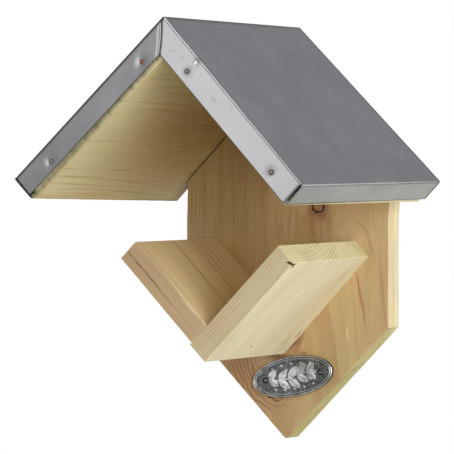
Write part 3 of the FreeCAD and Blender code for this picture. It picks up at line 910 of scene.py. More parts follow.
def figure_tint(recipe, grain, place, fibre, tint):
    """Lightens and darkens the wood in fine fibres and in broader bands."""
    band = recipe.mottle(place, (0.004, 0.11, 0.11), grain.seed + 17)
    figure = grain.figure
    fibres = recipe.span(fibre, 0.25, 0.75, 1 - 0.09 * figure, 1 + 0.06 * figure)
    bands = recipe.span(band, 0.3, 0.7, 1 - 0.05 * figure, 1 + 0.05 * figure)
    lines = recipe.times(fibres, bands)
    return recipe.blend(1.0, tint, recipe.join(lines, lines, lines), "MULTIPLY")


def pine(name, grain):
    """Planed raw pine whose rings run through the whole board, so that its end grain matches its faces."""
    finishes = settings().finishes
    recipe = Recipe(name)
    place = recipe.place()
    wavy = swayed(recipe, place, (0.006, 0.02, 0.02), grain.waver, grain.seed)
    rough = swayed(recipe, place, (0.05, 0.3, 0.3), 3.0, grain.seed + 3)
    along, _, through = recipe.facing()
    end = recipe.span(recipe.maths("ABSOLUTE", along), 0.5, 0.68)
    edge = recipe.span(recipe.maths("ABSOLUTE", through), 0.45, 0.8, 1.0, 0.0)

    years = ring_years(recipe, grain, wavy)
    late, worn = late_wood(recipe, grain, years, place, grain.onset, grain.least)
    fine = late_wood(recipe, grain, recipe.times(years, 3.1), place, grain.onset, grain.least)[0]
    fibre = recipe.mottle(wavy, (0.03, 1.5, 1.5), grain.seed, detail=3.0, roughness=0.6)
    cloud = recipe.mottle(wavy, (0.008, 0.035, 0.035), grain.seed + 5)
    pores = recipe.mottle(place, (0.09, 2.6, 2.6), grain.seed + 9, detail=1.0)
    pores = recipe.span(pores, 0.66, 0.74)

    tint = ground_tint(recipe, finishes, grain, edge, end, cloud)
    tint = streak_tint(recipe, finishes, grain, rough, fibre, tint)
    show = recipe.plus(recipe.times(edge, grain.edge_contrast), grain.contrast)
    show = recipe.times(worn, recipe.plus(show, recipe.times(end, grain.end_contrast)))
    dark = recipe.blend(end, finishes.late_wood, finishes.green_wood)
    tint = recipe.blend(recipe.times(late, show), tint, dark)
    faint = recipe.plus(recipe.times(edge, 0.4), 0.3)
    tint = recipe.blend(recipe.times(recipe.times(fine, show), faint), tint, dark)
    tint = figure_tint(recipe, grain, wavy, fibre, tint)
    tint = recipe.blend(recipe.times(pores, 0.16), tint, finishes.late_wood)
    for swirl in grain.swirls:
        tint = swirl_tint(recipe, finishes, grain, swirl, place, tint)
    # Painted shade at the bottom of the torn-out splinter
    tint = recipe.blend(recipe.mark(TORN_SHADE), tint, finishes.torn_wood)
    for knot in grain.knots:
        tint = knot_tint(recipe, finishes, knot, place, tint)

    height = recipe.plus(recipe.times(fibre, 0.6), recipe.times(late, recipe.plus(0.4, end)))
    height = recipe.minus(height, recipe.times(pores, 0.5))
    recipe.relief(height, 0.14)
    gloss = recipe.span(fibre, 0.2, 0.8, 0.5, 0.68)
    return recipe.surface(Base_Color=tint, Roughness=gloss, Specular_IOR_Level=0.3)


@dataclass
class Scuff:
    """A mark on the right fascia: its place from the front, half length, half width, strength, finish."""

    x: float
    z: float
    long: float
    wide: float
    strength: float
    finish: str = "scratch"


SCUFFS = (
    Scuff(10.4, 59.6, 0.7, 0.5, 0.5),
    Scuff(12.9, 59.5, 1.7, 0.45, 0.6),
    Scuff(18.5, 55.0, 0.8, 0.6, 0.6),
    Scuff(42.3, 27.7, 2.5, 0.45, 0.75),
    Scuff(55.0, 22.9, 0.7, 0.6, 0.6),
    # The last two paint the hammer's dent: painted shade round it and a painted highlight in it
    Scuff(29.3, 52.2, 2.1, 2.8, 1.0, "zinc_grime"),
    Scuff(28.6, 51.5, 1.1, 1.6, 1.0, "zinc_bright"),
)


def zinc():
    """Dull zinc sheet: faint clouds, a bloom on the slopes, a painted warm reflection on the flanges, painted
    shade at the folds, edges and nails, scuffs with a painted highlight in the hammer's dent, and an uneven
    gloss.
    """
    finishes = settings().finishes
    recipe = Recipe("zinc_sheet")
    place = recipe.place()
    depth = recipe.parts(place)[1]
    upward = recipe.facing()[2]
    clouds = recipe.mottle(place, (0.03, 0.03, 0.03), detail=3.0, roughness=0.6)
    specks = recipe.mottle(place, (0.5, 0.5, 0.5), 4.0, roughness=0.7)
    rolled = recipe.mottle(place, (1.2, 0.03, 1.2), 8.0)
    tint = recipe.blend(recipe.span(clouds, 0.3, 0.7), finishes.zinc_dark, finishes.zinc_light)
    tint = recipe.blend(recipe.span(upward, 0.4, 0.6, 0.0, 0.22), tint, finishes.slope_zinc)
    # Painted reflection of the wood on the faces that point down
    tint = recipe.blend(recipe.span(upward, -0.6, -0.4, 0.9, 0.0), tint, finishes.flange_reflection_zinc)
    tint = recipe.blend(recipe.span(specks, 0.6, 0.8, 0.0, 0.25), tint, finishes.scratch)
    # Painted shade where the sheet was marked for it
    tint = recipe.blend(recipe.times(recipe.mark(SHADE_MARK), 0.8), tint, finishes.zinc_grime)
    front, rear = SHEET_LOW.y / MM, SHEET_HIGH.y / MM
    # Painted shade as a dark line along the rear edge
    tint = recipe.blend(recipe.span(depth, rear - 1.8, rear - 0.6, 0.0, 0.85), tint, finishes.zinc_grime)
    down = recipe.measure("DOT_PRODUCT", place, (COS, 0, -SIN))
    out = recipe.measure("DOT_PRODUCT", place, (SIN, 0, COS))
    slope = recipe.join(down, depth, out)
    # Painted shade in a soft ring round each nail in the right fascia
    nails = [middle_of(box) / MM for box in solids_of("fascia_nails_right")]
    nail_shades = [Scuff(nail.x, nail.z, 2.2, 2.2, 0.8, "zinc_grime") for nail in nails]
    for scuff in (*nail_shades, *SCUFFS):
        middle = ((scuff.x - scuff.z) * COS, front, (scuff.x + scuff.z) * COS)
        mark = recipe.spot(slope, middle, (scuff.long, 3, scuff.wide))
        tint = recipe.blend(recipe.times(mark, scuff.strength), tint, getattr(finishes, scuff.finish))
    gloss = recipe.plus(recipe.span(clouds, 0.3, 0.7, 0.26, 0.32), recipe.times(rolled, 0.05))
    recipe.relief(recipe.plus(recipe.times(specks, 0.5), rolled), 0.02)
    return recipe.surface(Base_Color=tint, Metallic=1.0, Roughness=gloss, Specular_Tint=(0.6, 0.6, 0.6, 1))


def steel(name, rust, rim=None):
    """Plain nail steel with dull patches and some rust, and with painted shade in a rim from that far out."""
    finishes = settings().finishes
    recipe = Recipe(name)
    place = recipe.place()
    patch = recipe.mottle(place, (0.7, 0.7, 0.7), 2.0, detail=3.0, roughness=0.6)
    fine = recipe.mottle(place, (2.5, 2.5, 2.5), 6.0)
    tint = recipe.blend(recipe.span(patch, 0.3, 0.7), finishes.scratch, finishes.nail_steel)
    rusty = recipe.span(patch, 0.75 - rust, 0.9 - rust)
    tint = recipe.blend(rusty, tint, finishes.rust)
    # Painted shade: a dark ring round the edge of the head
    if rim:
        far = recipe.plus(recipe.oval(place, (0.2, -0.1), (rim, rim)), recipe.minus(patch, 0.5))
        tint = recipe.blend(recipe.span(far, 0.6, 0.95, 0.0, 0.9), tint, finishes.bark)
    gloss = recipe.span(fine, 0.3, 0.7, 0.3, 0.55)
    recipe.relief(fine, 0.05)
    shine = recipe.span(rusty, 0.0, 1.0, 1.0, 0.1)
    return recipe.surface(Base_Color=tint, Metallic=shine, Roughness=gloss)


def pewter():
    """Cast pewter, dark and stained in the hollows and rubbed bright on the high places."""
    finishes = settings().finishes
    recipe = Recipe("pewter")
    place = recipe.place()
    height = recipe.parts(place)[2]
    grit = recipe.mottle(place, (1.3, 1.3, 1.3), detail=3.0, roughness=0.6)
    stain = recipe.mottle(place, (0.16, 0.22, 0.2), 7.0, detail=3.0, roughness=0.6)
    rubbed = recipe.plus(height, recipe.times(recipe.minus(grit, 0.5), 0.7))
    rubbed = recipe.times(recipe.span(rubbed, 1.62, 2.35), recipe.span(stain, 0.35, 0.6, 0.5, 1.0))
    tint = recipe.blend(rubbed, finishes.pewter_dark, finishes.pewter_bright)
    gloss = recipe.span(rubbed, 0.0, 1.0, 0.5, 0.3)
    recipe.relief(grit, 0.12)
    return recipe.surface(Base_Color=tint, Metallic=1.0, Roughness=gloss)


# Pieces

class HOUSE_OT_back_board(Operator):
    """Makes the pine back board with its pointed foot, and cuts the hanger's recess into its back"""

    bl_idname = "house.back_board"
    bl_label = "Back Board"

    def execute(self, context):
        half = BACK_HIGH.x
        gable = BACK_HIGH.z - settings().sizes.gable_gap / COS
        shoulder = gable - half
        foot_flat = 1.0 * MM
        hip = BACK_LOW.z + half - foot_flat
        outline = [(gable, 0), (shoulder, half), (hip, half), (BACK_LOW.z, foot_flat),
                   (BACK_LOW.z, -foot_flat), (hip, -half), (shoulder, -half)]
        place = placed(Vector((0, 0, 0)), Vector((0, 0, 1)), Vector((1, 0, 0)))
        board = sawn_board("back_board_pine", outline, BACK_LOW.y, BACK_HIGH.y, place)
        moved(board, self.follow_roof)
        self.hanger_recess(board)
        for _, name in SIDES:
            for box in solids_of(f"tray_screws_{name}"):
                self.screw_seat(board, box)
        even_normals(board)
        hand_over(board, pine("pine_back", BACK_GRAIN), "pine_back", "back_board")
        return {"FINISHED"}

    def follow_roof(self, point):
        """Lets the gable go askew with the roof on it, less and less further down."""
        fade = 30 * MM
        below = BACK_HIGH.z - abs(point.x) - point.z
        return point.lerp(askew(point), clamped(1 - below / fade))

    def hanger_recess(self, board):
        """Sinks the hanger plate's recess into the back, and the pocket behind its keyhole."""
        room, proud, deep = 0.2 * MM, 1 * MM, 7 * MM
        low, high = PLATE_LOW, PLATE_HIGH
        recess = rectangle(low.z - room, low.x - room, high.z + room, high.x + room)
        cut_away(board, prism(recess, low.y, proud), board.matrix_world)
        cut_away(board, prism(self.pocket(), low.y - deep, proud), board.matrix_world)

    def pocket(self):
        """Outline of the room behind the keyhole, round at both ends."""
        radius, rise, steps = 5.7 * MM, 9 * MM, 24
        ends = []
        for number in range(steps):
            way = math.tau * (number + 0.5) / steps
            up = radius * math.cos(way)
            ends.append((up + (rise if up > 0 else 0), radius * math.sin(way)))
        return ends

    def screw_seat(self, board, box):
        """Sinks one screw's seat into the back."""
        room, proud = 0.1 * MM, 1 * MM
        middle = middle_of(box)
        radius = half_width(box) + room
        cone = turned([(0, proud), (radius + proud, proud), (0, -radius)])
        cut_away(board, cone, facing_back(Vector((middle.x, BACK_HIGH.y, middle.z))))


class HOUSE_OT_roof_boards(Operator):
    """Makes the two pine boards under the sheet; the left one runs on at the ridge"""

    bl_idname = "house.roof_boards"
    bl_label = "Roof Boards"

    def execute(self, context):
        for side, name in SIDES:
            top = 0 if side == LEFT else ROOF_THICKNESS
            low, high = (-ROOF_THICKNESS, 0) if side == LEFT else (0, ROOF_THICKNESS)
            outline = rectangle(ROOF_LOW.y, top, ROOF_HIGH.y, SLOPE)
            place = placed(RIDGE, Vector((0, 1, 0)), Vector((side * COS, 0, -SIN)))
            board = sawn_board(f"roof_board_{name}_pine", outline, low, high, place)
            self.relieve(board, side)
            if side == RIGHT:
                moved(board, self.bulged)
            moved(board, askew)
            even_normals(board)
            wood = pine(f"pine_roof_{name}", ROOF_GRAINS[name])
            hand_over(board, wood, "pine_roof", f"roof_board_{name}")
        return {"FINISHED"}

    def bulged(self, point):
        """Lets the right board's underside come down at the eave, more and more towards the wall."""
        front_share = 0.4
        deep = clamped((RIDGE.z - point.x - point.z) * COS / ROOF_THICKNESS)
        down = clamped((point.x - BACK_HIGH.x) / (SLOPE * COS - BACK_HIGH.x))
        rear = 1 - point.y / ROOF_LOW.y
        drop = settings().sizes.eave_drop * deep * down ** 2 * (front_share + (1 - front_share) * rear)
        return point - Vector((SIN, 0, COS)) * drop

    def relieve(self, board, side):
        """Cuts the front end back behind the slit at the eave and, on the left board, behind the seam."""
        proud, deep, slit_wide, slit_high = 1 * MM, 10 * MM, 3 * MM, 15 * MM
        front, rear = ROOF_LOW.y - proud, ROOF_LOW.y + deep
        slit = rectangle(front, SLOPE - slit_wide, rear, SLOPE + proud)
        low, high = (-slit_high, proud) if side == LEFT else (-proud, slit_high)
        cut_away(board, prism(slit, low, high), board.matrix_world)
        if side == LEFT:
            left, right, foot = -3 * MM, 0.8 * MM, BACK_HIGH.z + 3.5 * MM
            seam = rectangle(left, foot, right, RIDGE.z + proud)
            cut_away(board, prism(seam, -rear, -front), facing_front(Vector((0, 0, 0))))


class HOUSE_OT_tray_boards(Operator):
    """Makes the two pine boards of the trough; the right one runs on at the bottom and is chipped"""

    bl_idname = "house.tray_boards"
    bl_label = "Trough Boards"

    def execute(self, context):
        sizes = settings().sizes
        for side, name in SIDES:
            left = side == LEFT
            bottom = 0 if left else -TRAY_THICKNESS - sizes.trough_overrun
            top = TRAY_SLOPE + (sizes.trough_longer if left else 0)
            low, high = (0, TRAY_THICKNESS) if left else (-TRAY_THICKNESS, 0)
            outline = rectangle(bottom, TRAY_LOW.y, top, TRAY_HIGH.y)
            lean = PITCH + (sizes.trough_lean if left else 0)
            place = placed(TROUGH, Vector((side * math.cos(lean), 0, math.sin(lean))), Vector((0, 1, 0)))
            board = sawn_board(f"tray_board_{name}_pine", outline, low, high, place)
            if not left:
                self.chip(board)
                self.brad_hole(board)
                self.mark_chip_shade(board)
                moved(board, twisted)
            even_normals(board)
            wood = pine(f"pine_tray_{name}", TRAY_GRAINS[name])
            hand_over(board, wood, "pine_tray", f"tray_board_{name}")
        return {"FINISHED"}

    def chip(self, board):
        """A splinter torn out of the front corner at the top of the outer face."""
        turn = board.matrix_world.to_3x3()
        corner = board.matrix_world @ Vector((TRAY_SLOPE, TRAY_LOW.y, -TRAY_THICKNESS))
        place = placed(corner, turn.col[0], turn.col[2])
        proud = 1 * MM
        flake = [(1, -1), (1, 4.2), (-0.4, 4.4), (-4.6, 3.8), (-2.2, -1)]
        crack = [(-0.9, -1), (-1.2, 1.4), (-2.0, 3.4), (-4.6, 5.0), (-4.0, 3.0), (-3.2, 1.0), (-3.0, -1)]
        for outline, deep in ((flake, -0.9 * MM), (crack, -4 * MM)):
            cut_away(board, prism([(x * MM, y * MM) for x, y in outline], deep, proud), place)

    def mark_chip_shade(self, board):
        """Marks the bottom of the torn-out splinter for painted shade."""
        corner = Vector((TRAY_SLOPE, TRAY_LOW.y, -TRAY_THICKNESS))
        low, high = Vector((-6, 2, -0.1)) * MM, Vector((-1, 5, 5)) * MM
        torn = board.data.attributes.new(TORN_SHADE, "FLOAT", "POINT")
        for vertex, mark in zip(board.data.vertices, torn.data):
            away = vertex.co - corner
            if all(low[axis] < away[axis] < high[axis] for axis in range(3)):
                mark.value = 1

    def brad_hole(self, board):
        """The small hole that the brad is sunk in."""
        deep, proud, turns = 0.9 * MM, 1 * MM, 12
        low, high = solids_of("tray_joint_nail")[0]
        middle = Vector((high.x, (low.y + high.y) / 2, low.z))
        local = board.matrix_world.inverted() @ middle
        radius = (high.y - low.y) / 2
        hole = turned([(0, deep), (radius, deep), (radius, -proud), (0, -proud)], turns)
        at = Matrix.Translation(Vector((local.x + radius * COS, local.y, -TRAY_THICKNESS)))
        cut_away(board, hole, board.matrix_world @ at)


class HOUSE_OT_roof_sheet(Operator):
    """Folds the zinc sheet over the ridge, down at the eaves and down in front, and dents it at the nails"""

    bl_idname = "house.roof_sheet"
    bl_label = "Roof Sheet"

    slope_steps = 96
    depth_steps = 56
    fold_steps = 5
    drop_steps = 12

    def execute(self, context):
        self.sizes = context.scene.feeding_house.sizes
        self.eave = SLOPE + self.sizes.sheet_stand
        self.front = SHEET_LOW.y
        self.dents = []
        for side, name in SIDES:
            for box in solids_of(f"fascia_nails_{name}"):
                self.dents.append((middle_of(box), nail_dent(side), self.sizes.dent_reach))
        self.dents.append(self.hammer_mark())
        self.bm = bmesh.new()
        self.grime = self.bm.verts.layers.float.new(SHADE_MARK)
        section = self.half_section()
        rows = self.panel(section)
        for side in (LEFT, RIGHT):
            self.fascia(side, rows[-1][side], section)
            self.corner(side, rows[-1][side], section)
        bmesh.ops.recalc_face_normals(self.bm, faces=self.bm.faces)
        top = max(self.bm.faces, key=lambda face: face.calc_center_median().z)
        if top.normal.z < 0:
            bmesh.ops.reverse_faces(self.bm, faces=self.bm.faces)
        sheet = new_piece("roof_sheet_zinc", self.bm)
        gauge = sheet.modifiers.new("gauge", "SOLIDIFY")
        gauge.thickness = self.sizes.sheet_gauge
        gauge.offset = -1
        apply_modifiers(sheet)
        even_normals(sheet)
        hand_over(sheet, zinc(), "zinc_sheet", "roof_sheet")
        return {"FINISHED"}

    def hammer_mark(self):
        """The small dent where the hammer missed the right fascia's upper nail."""
        aside, above = 6.1 * MM, 5.8 * MM
        deep, reach = 0.3 * MM, 1.7 * MM
        nail = middle_of(solids_of("fascia_nails_right")[0])
        return nail + Vector((aside, 0, above)), deep, reach

    def half_section(self):
        """Points along and out of one slope: ridge fold, slope, eave fold and flange."""
        sizes = self.sizes
        radius = sizes.fold_radius
        self.fold_out = sizes.sheet_stand - radius
        ridge_centre = radius - sizes.sheet_stand
        eave_centre = self.eave - radius
        points = []
        for step in range(self.fold_steps):
            way = PITCH * (1 - step / self.fold_steps)
            points.append((ridge_centre - radius * math.sin(way), self.fold_out + radius * math.cos(way)))
        self.slope_from = len(points)
        for step in range(self.slope_steps + 1):
            along = ridge_centre + (eave_centre - ridge_centre) * step / self.slope_steps
            points.append((along, sizes.sheet_stand))
        self.slope_to = len(points)
        for step in range(1, self.fold_steps + 1):
            way = math.pi / 2 * step / self.fold_steps
            points.append((eave_centre + radius * math.sin(way), self.fold_out + radius * math.cos(way)))
        low = sizes.sheet_stand - sizes.flange_front
        for step in range(1, self.drop_steps + 1):
            points.append((self.eave, self.fold_out + (low - self.fold_out) * step / self.drop_steps))
        return points

    def place_point(self, side, number, along, out, depth):
        """A new vertex of the slopes and flanges; the flanges get lower towards the wall."""
        sizes = self.sizes
        if out < self.fold_out:
            shrink = 1 - (1 - sizes.flange_rear / sizes.flange_front) * (1 - depth / self.front)
            out = self.fold_out + (out - self.fold_out) * shrink
        point = on_roof(side, along, out, depth)
        outward = Vector((side * SIN, 0, COS))
        if number >= self.slope_to:
            outward = Vector((side * COS, 0, -SIN))
        vertex = self.bm.verts.new(askew(point + outward * self.wave(point, along)))
        # Painted shade along the ridge fold and along the rear edge at the wall
        shaded_rows, wall_shade = 3, 0.8
        ridge_shade = clamped(1 - (number - self.slope_from + 1) / shaded_rows)
        vertex[self.grime] = max(ridge_shade, wall_shade if depth == 0 else 0)
        return vertex

    def strip(self, side, section, start, depth):
        """New vertices across one slope at that depth, from one point of its section on."""
        numbers = range(start, len(section))
        return [self.place_point(side, number, *section[number], depth) for number in numbers]

    def panel(self, section):
        """The sheet over both slopes and the flanges, row by row from the wall to the front fold."""
        front = self.front + self.sizes.fold_radius
        rows = []
        for step in range(self.depth_steps + 1):
            depth = front * step / self.depth_steps
            left = self.strip(LEFT, section, 0, depth)
            right = self.strip(RIGHT, section, 1, depth)
            rows.append({LEFT: left, RIGHT: [left[0], *right]})
        for upper, lower in zip(rows, rows[1:]):
            for side in (LEFT, RIGHT):
                bridge(self.bm, upper[side], lower[side])
        return rows

    def fascia(self, side, edge, section):
        """The strip that is turned down in front of one slope, from the seam to the eave."""
        sizes = self.sizes
        left = side == LEFT
        tall = sizes.fascia_left if left else sizes.fascia_right
        # Painted shade along the fold: full on the left fascia, faint on the right one
        fade, fold_shade = (0, 1) if left else (5, 0.2)
        hook_from, tuck_reach = 0.7, 3.5 * MM
        tops = [along for along, out in section[self.slope_from:self.slope_to]]
        last = edge[self.slope_from:self.slope_to]
        for vertex in last:
            vertex[self.grime] = fold_shade
        end = self.eave - sizes.corner_gap
        for out, depth, grime in self.levels(tall, fade):
            sunk = (sizes.sheet_stand - out) / tall
            seam = -sizes.seam_shift - sizes.seam_hook * max(sunk - hook_from, 0) / (1 - hook_from)
            start = (side * seam + sizes.seam_gap / 2 - out * SIN) / COS
            start = max(start, tops[0])
            row = []
            for top in tops:
                ratio = (top - tops[0]) / (tops[-1] - tops[0])
                along = start + (end - start) * ratio
                point = askew(on_roof(side, along, out, depth))
                point.y += self.dent(point) * clamped(sunk * 4)
                if left:
                    near = clamped(1 - (along - start) / tuck_reach)
                    point.y += sizes.seam_tuck * near ** 2 * clamped(sunk * 3)
                vertex = self.bm.verts.new(point)
                vertex[self.grime] = grime
                row.append(vertex)
            bridge(self.bm, last, row)
            last = row

    def levels(self, tall, fade):
        """Rows of a fascia from its fold to its lower edge: how far out, at what depth, and how much painted
        shade.
        """
        sizes = self.sizes
        radius = sizes.fold_radius
        shaded, lip = 0.45 * MM, 0.4 * MM
        rows = []
        for step in range(1, self.fold_steps + 1):
            share = step / self.fold_steps
            way = (math.pi / 2 - sizes.fascia_flare) * share
            out = self.fold_out + radius * math.cos(way)
            depth = self.front + radius * (1 - math.sin(way))
            rows.append((out, depth, clamped(1 - fade * share)))
        drop = tall - sizes.sheet_stand + out
        falls = [(drop - lip) * step / self.drop_steps for step in range(1, self.drop_steps + 1)]
        # Painted shade just below the left fascia's fold and along the lower edge of both fascias
        for fall, grime in [(shaded, clamped(0.8 - fade)), *((fall, 0) for fall in falls), (drop, 1)]:
            rows.append((out - fall, depth - fall * math.tan(sizes.fascia_flare), grime))
        return rows

    def corner(self, side, edge, section):
        """Runs the eave fold and flange on to the front, beside the slit at the fascia's end."""
        row = self.strip(side, section, self.slope_to, self.front)
        bridge(self.bm, edge[self.slope_to:], row)
        if side == RIGHT:
            self.tab(row, section)

    def tab(self, row, section):
        """The foot of the right flange, bent round to the front across the slit."""
        tall, across, proud = 3, 0.85, 0.5 * MM
        along = self.eave - across * self.sizes.corner_gap
        depth = self.front - proud
        foot = [self.bm.verts.new(askew(on_roof(RIGHT, along, out, depth))) for _, out in section[-tall:]]
        bridge(self.bm, row[-tall:], foot)

    def wave(self, point, along):
        """Unevenness of the flat sheet, which dies out at the folds."""
        calm_reach, broad, fine = 20 * MM, 0.022 / MM, 0.06 / MM
        calm = clamped(min(along, self.eave - along) / calm_reach)
        swell = noise.noise(point * broad) + 0.4 * noise.noise(point * fine)
        return self.sizes.sheet_wave * swell * calm

    def dent(self, point):
        """How far the nails and the hammer draw the front of the sheet in at a point."""
        ripple, steep = 0.04 / MM, 1.6
        depth = self.sizes.sheet_wave * noise.noise(point * ripple)
        for middle, deep, reach in self.dents:
            far = math.hypot(point.x - middle.x, point.z - middle.z) / reach
            depth += deep * math.exp(-far * far * steep)
        return depth


class HOUSE_OT_nails(Operator):
    """Drives the nails: two in each fascia, the ones under the sheet, and the brad in the trough"""

    bl_idname = "house.nails"
    bl_label = "Nails"

    def execute(self, context):
        plain = steel("nail_steel", rust=0.1)
        head = half_width(solids_of("fascia_nails_left")[0]) / MM
        # The fascia nails' heads get painted shade round their rims
        rim_shaded = steel("dirty_steel", rust=0.1, rim=head)
        rusty = steel("rusty_steel", rust=0.42, rim=head)
        for side, name in SIDES:
            node = f"fascia_nails_{name}"
            for number, box in enumerate(solids_of(node)):
                upper = number == (1 if side == LEFT else 0)
                label = "upper" if upper else "lower"
                nail = self.headed(f"fascia_nail_{name}_{label}", box, side, number)
                hand_over(nail, rusty if upper and side == LEFT else rim_shaded, "steel", node)
        for node in ("roof_nails_left", "roof_nails_right", "ridge_nails"):
            self.hidden(node, plain, askew)
        self.hidden("tray_joint_nail", steel("brad_steel", rust=0.5), twisted)
        return {"FINISHED"}

    def headed(self, name, box, side, number):
        """A wire nail driven straight in, with a hammered, slightly domed head."""
        low, high = box
        radius = half_width(box)
        shank = 0.5 * radius
        long = high.y - low.y
        dome, tip, proud = 0.8 * MM, 1.6 * MM, 0.15 * MM
        hammered, blow_scale = 0.12 * MM, 0.7 / MM
        profile = [(0, 0.95), (0.4, 0.9), (0.75, 0.72), (0.95, 0.45), (1.0, 0.2), (0.92, 0.0)]
        rings = [(share * radius, height * dome) for share, height in profile]
        rings += [(shank, 0), (shank, tip - long), (0, -long)]
        bm = turned(rings)
        for vertex in bm.verts:
            if vertex.co.z > 0:
                vertex.co.z += hammered * noise.noise(vertex.co * blow_scale + Vector((number, side, 0)))
        middle = middle_of(box)
        square = middle * 2 - askew(middle)
        out = (abs(square.x) + square.z - RIDGE.z) * COS
        seat = Vector((middle.x, fascia_depth(out) + nail_dent(side) - proud, middle.z))
        return new_piece(name, bm, facing_front(seat))

    def hidden(self, node, material, shift):
        """Nails that go out of place with the boards they are in."""
        bm = node_mesh(node)
        for vertex in bm.verts:
            vertex.co = shift(vertex.co)
        hand_over(new_piece(f"{node}_steel", bm), material, "steel", node)


class HOUSE_OT_plaque(Operator):
    """Casts the oval plaque: a raised rim, a stippled field and a sprig of leaves with berries"""

    bl_idname = "house.plaque"
    bl_label = "Plaque"

    rings = 110
    turns = 300

    # Sizes of the sprig in millimetres
    pairs = range(-2, 3)
    pair_step = 7.4
    leaf_start, berry_start = -3.4, 0.4
    leaf_spread = math.radians(42)
    leaf_long, leaf_shorter, leaf_wide = 11.8, 1.5, 2.9
    tip_start, tip_long, tip_wide = 12, 7.5, 2.2
    stem_from, stem_to, stem_radius = -18.5, 13, 0.65
    stem_sway, stem_curl = 1.5, 0.2
    berry_inset, berry_radius = 5, 1.05
    vein_wide = 0.3

    def execute(self, context):
        self.sizes = context.scene.feeding_house.sizes
        self.thick = PLAQUE_HIGH.y - PLAQUE_LOW.y
        middle = middle_of((PLAQUE_LOW, PLAQUE_HIGH))
        place = facing_front(Vector((middle.x, PLAQUE_HIGH.y, middle.z)), self.sizes.plaque_tilt)
        inward = place.inverted()
        boxes = solids_of("plaque_pins")
        self.pins = [inward @ middle_of(box) for box in boxes]
        self.leaves = self.sprig()
        self.round_berries = self.berries()
        hand_over(new_piece("plaque_pewter", self.cast(), place), pewter(), "pewter", "plaque")
        bright = steel("pin_steel", rust=0.1)
        for number, box in enumerate(boxes):
            hand_over(self.pin(f"plaque_pin_{number}", box), bright, "steel", "plaque_pins")
        return {"FINISHED"}

    def pin(self, name, box):
        """A round-headed pin driven through the plaque."""
        radius = half_width(box)
        shank = 0.5 * radius
        long, tip, rise = 9 * MM, 1 * MM, 0.55 * self.thick
        middle = middle_of(box)
        profile = [(0, 0.7), (0.55, 0.6), (0.9, 0.3), (1.0, 0.0)]
        outline = [(share * radius, height * radius) for share, height in profile]
        outline += [(shank, 0), (shank, tip - long), (0, -long)]
        seat = Vector((middle.x, PLAQUE_HIGH.y - rise, middle.z))
        return new_piece(name, turned(outline), facing_front(seat))

    def sprig(self):
        """Leaves as base, direction, length and half width, set in pairs along a wavy stem."""
        leaves = []
        for number in self.pairs:
            along = self.pair_step * number + self.leaf_start
            long = self.leaf_long - self.leaf_shorter * abs(number)
            for spread in (-self.leaf_spread, self.leaf_spread):
                way = Vector((math.cos(spread), math.sin(spread)))
                leaves.append((Vector((along, self.stem(along))), way, long, self.leaf_wide))
        tip = Vector((self.tip_start, self.stem(self.tip_start)))
        leaves.append((tip, Vector((1, 0)), self.tip_long, self.tip_wide))
        return leaves

    def stem(self, along):
        """How far up the wavy stem is, that far to the right of the middle."""
        return self.stem_sway * math.sin(along * self.stem_curl)

    def berries(self):
        """Middles of the berries between the leaves' tips and the rim."""
        half_wide = self.sizes.plaque_width / MM / 2 - self.berry_inset
        half_high = self.sizes.plaque_height / MM / 2 - self.berry_inset
        middles = []
        for number in self.pairs:
            along = self.pair_step * number + self.berry_start
            reach = half_high * math.sqrt(1 - (along / half_wide) ** 2)
            middles += [Vector((along, side * reach)) for side in (-1, 1)]
        return middles

    def height(self, x, y):
        """Relief over the field at a point of the plaque, given in millimetres, as a share of its depth."""
        best = 0
        for base, way, long, wide in self.leaves:
            away = Vector((x, y)) - base
            along = away.dot(way) / long
            if not 0 < along < 1:
                continue
            side = away.cross(way)
            half = wide * math.sin(math.pi * along ** 0.8)
            if abs(side) >= half:
                continue
            crown = math.sqrt(1 - (side / half) ** 2)
            vein = 1 - 0.5 * math.exp(-(side / self.vein_wide) ** 2)
            rib = 0.88 + 0.12 * math.sin(6 * (away.dot(way) + abs(side)))
            best = max(best, (0.4 + 0.6 * crown) * vein * rib)
        for middle in self.round_berries:
            far = (Vector((x, y)) - middle).length / self.berry_radius
            best = max(best, 0.9 * math.sqrt(1 - far * far) if far < 1 else 0)
        if self.stem_from < x < self.stem_to:
            rod = 1 - ((y - self.stem(x)) / self.stem_radius) ** 2
            best = max(best, 0.9 * math.sqrt(rod) if rod > 0 else 0)
        return best

    def pit(self, x, y):
        """How deep the hollow round a pin is at a point, as a share of the relief."""
        radius = 1.9 * MM
        near = min(math.hypot(x - pin.x, y - pin.y) for pin in self.pins) / radius
        return 1.2 * clamped(1 - near ** 6)

    def rim(self, inset):
        """Height of the rim's two thin ridges and the band between them, that far in from the edge."""
        ridge = self.sizes.plaque_rim
        edge, edge_wide, ridge_wide = 0.55 * MM, 0.45 * MM, 0.4 * MM
        if inset > ridge * 1.25:
            return 0
        outer = math.exp(-((inset - edge) / edge_wide) ** 2)
        inner = 0.85 * math.exp(-((inset - ridge) / ridge_wide) ** 2)
        band = 0.15 if inset < ridge else 0
        return max(outer, inner, band)

    def rise(self, x, y, inset):
        """Height of the front at a point that far in from the edge, as a share of the relief."""
        grit = 1.2 / MM
        stipple = 0.2 + 0.2 * noise.noise(Vector((x, y, 0)) * grit)
        leaf = self.height(x / MM, y / MM) if inset > self.sizes.plaque_rim * 1.2 else 0
        return max(self.rim(inset), leaf * 0.95, stipple) - self.pit(x, y)

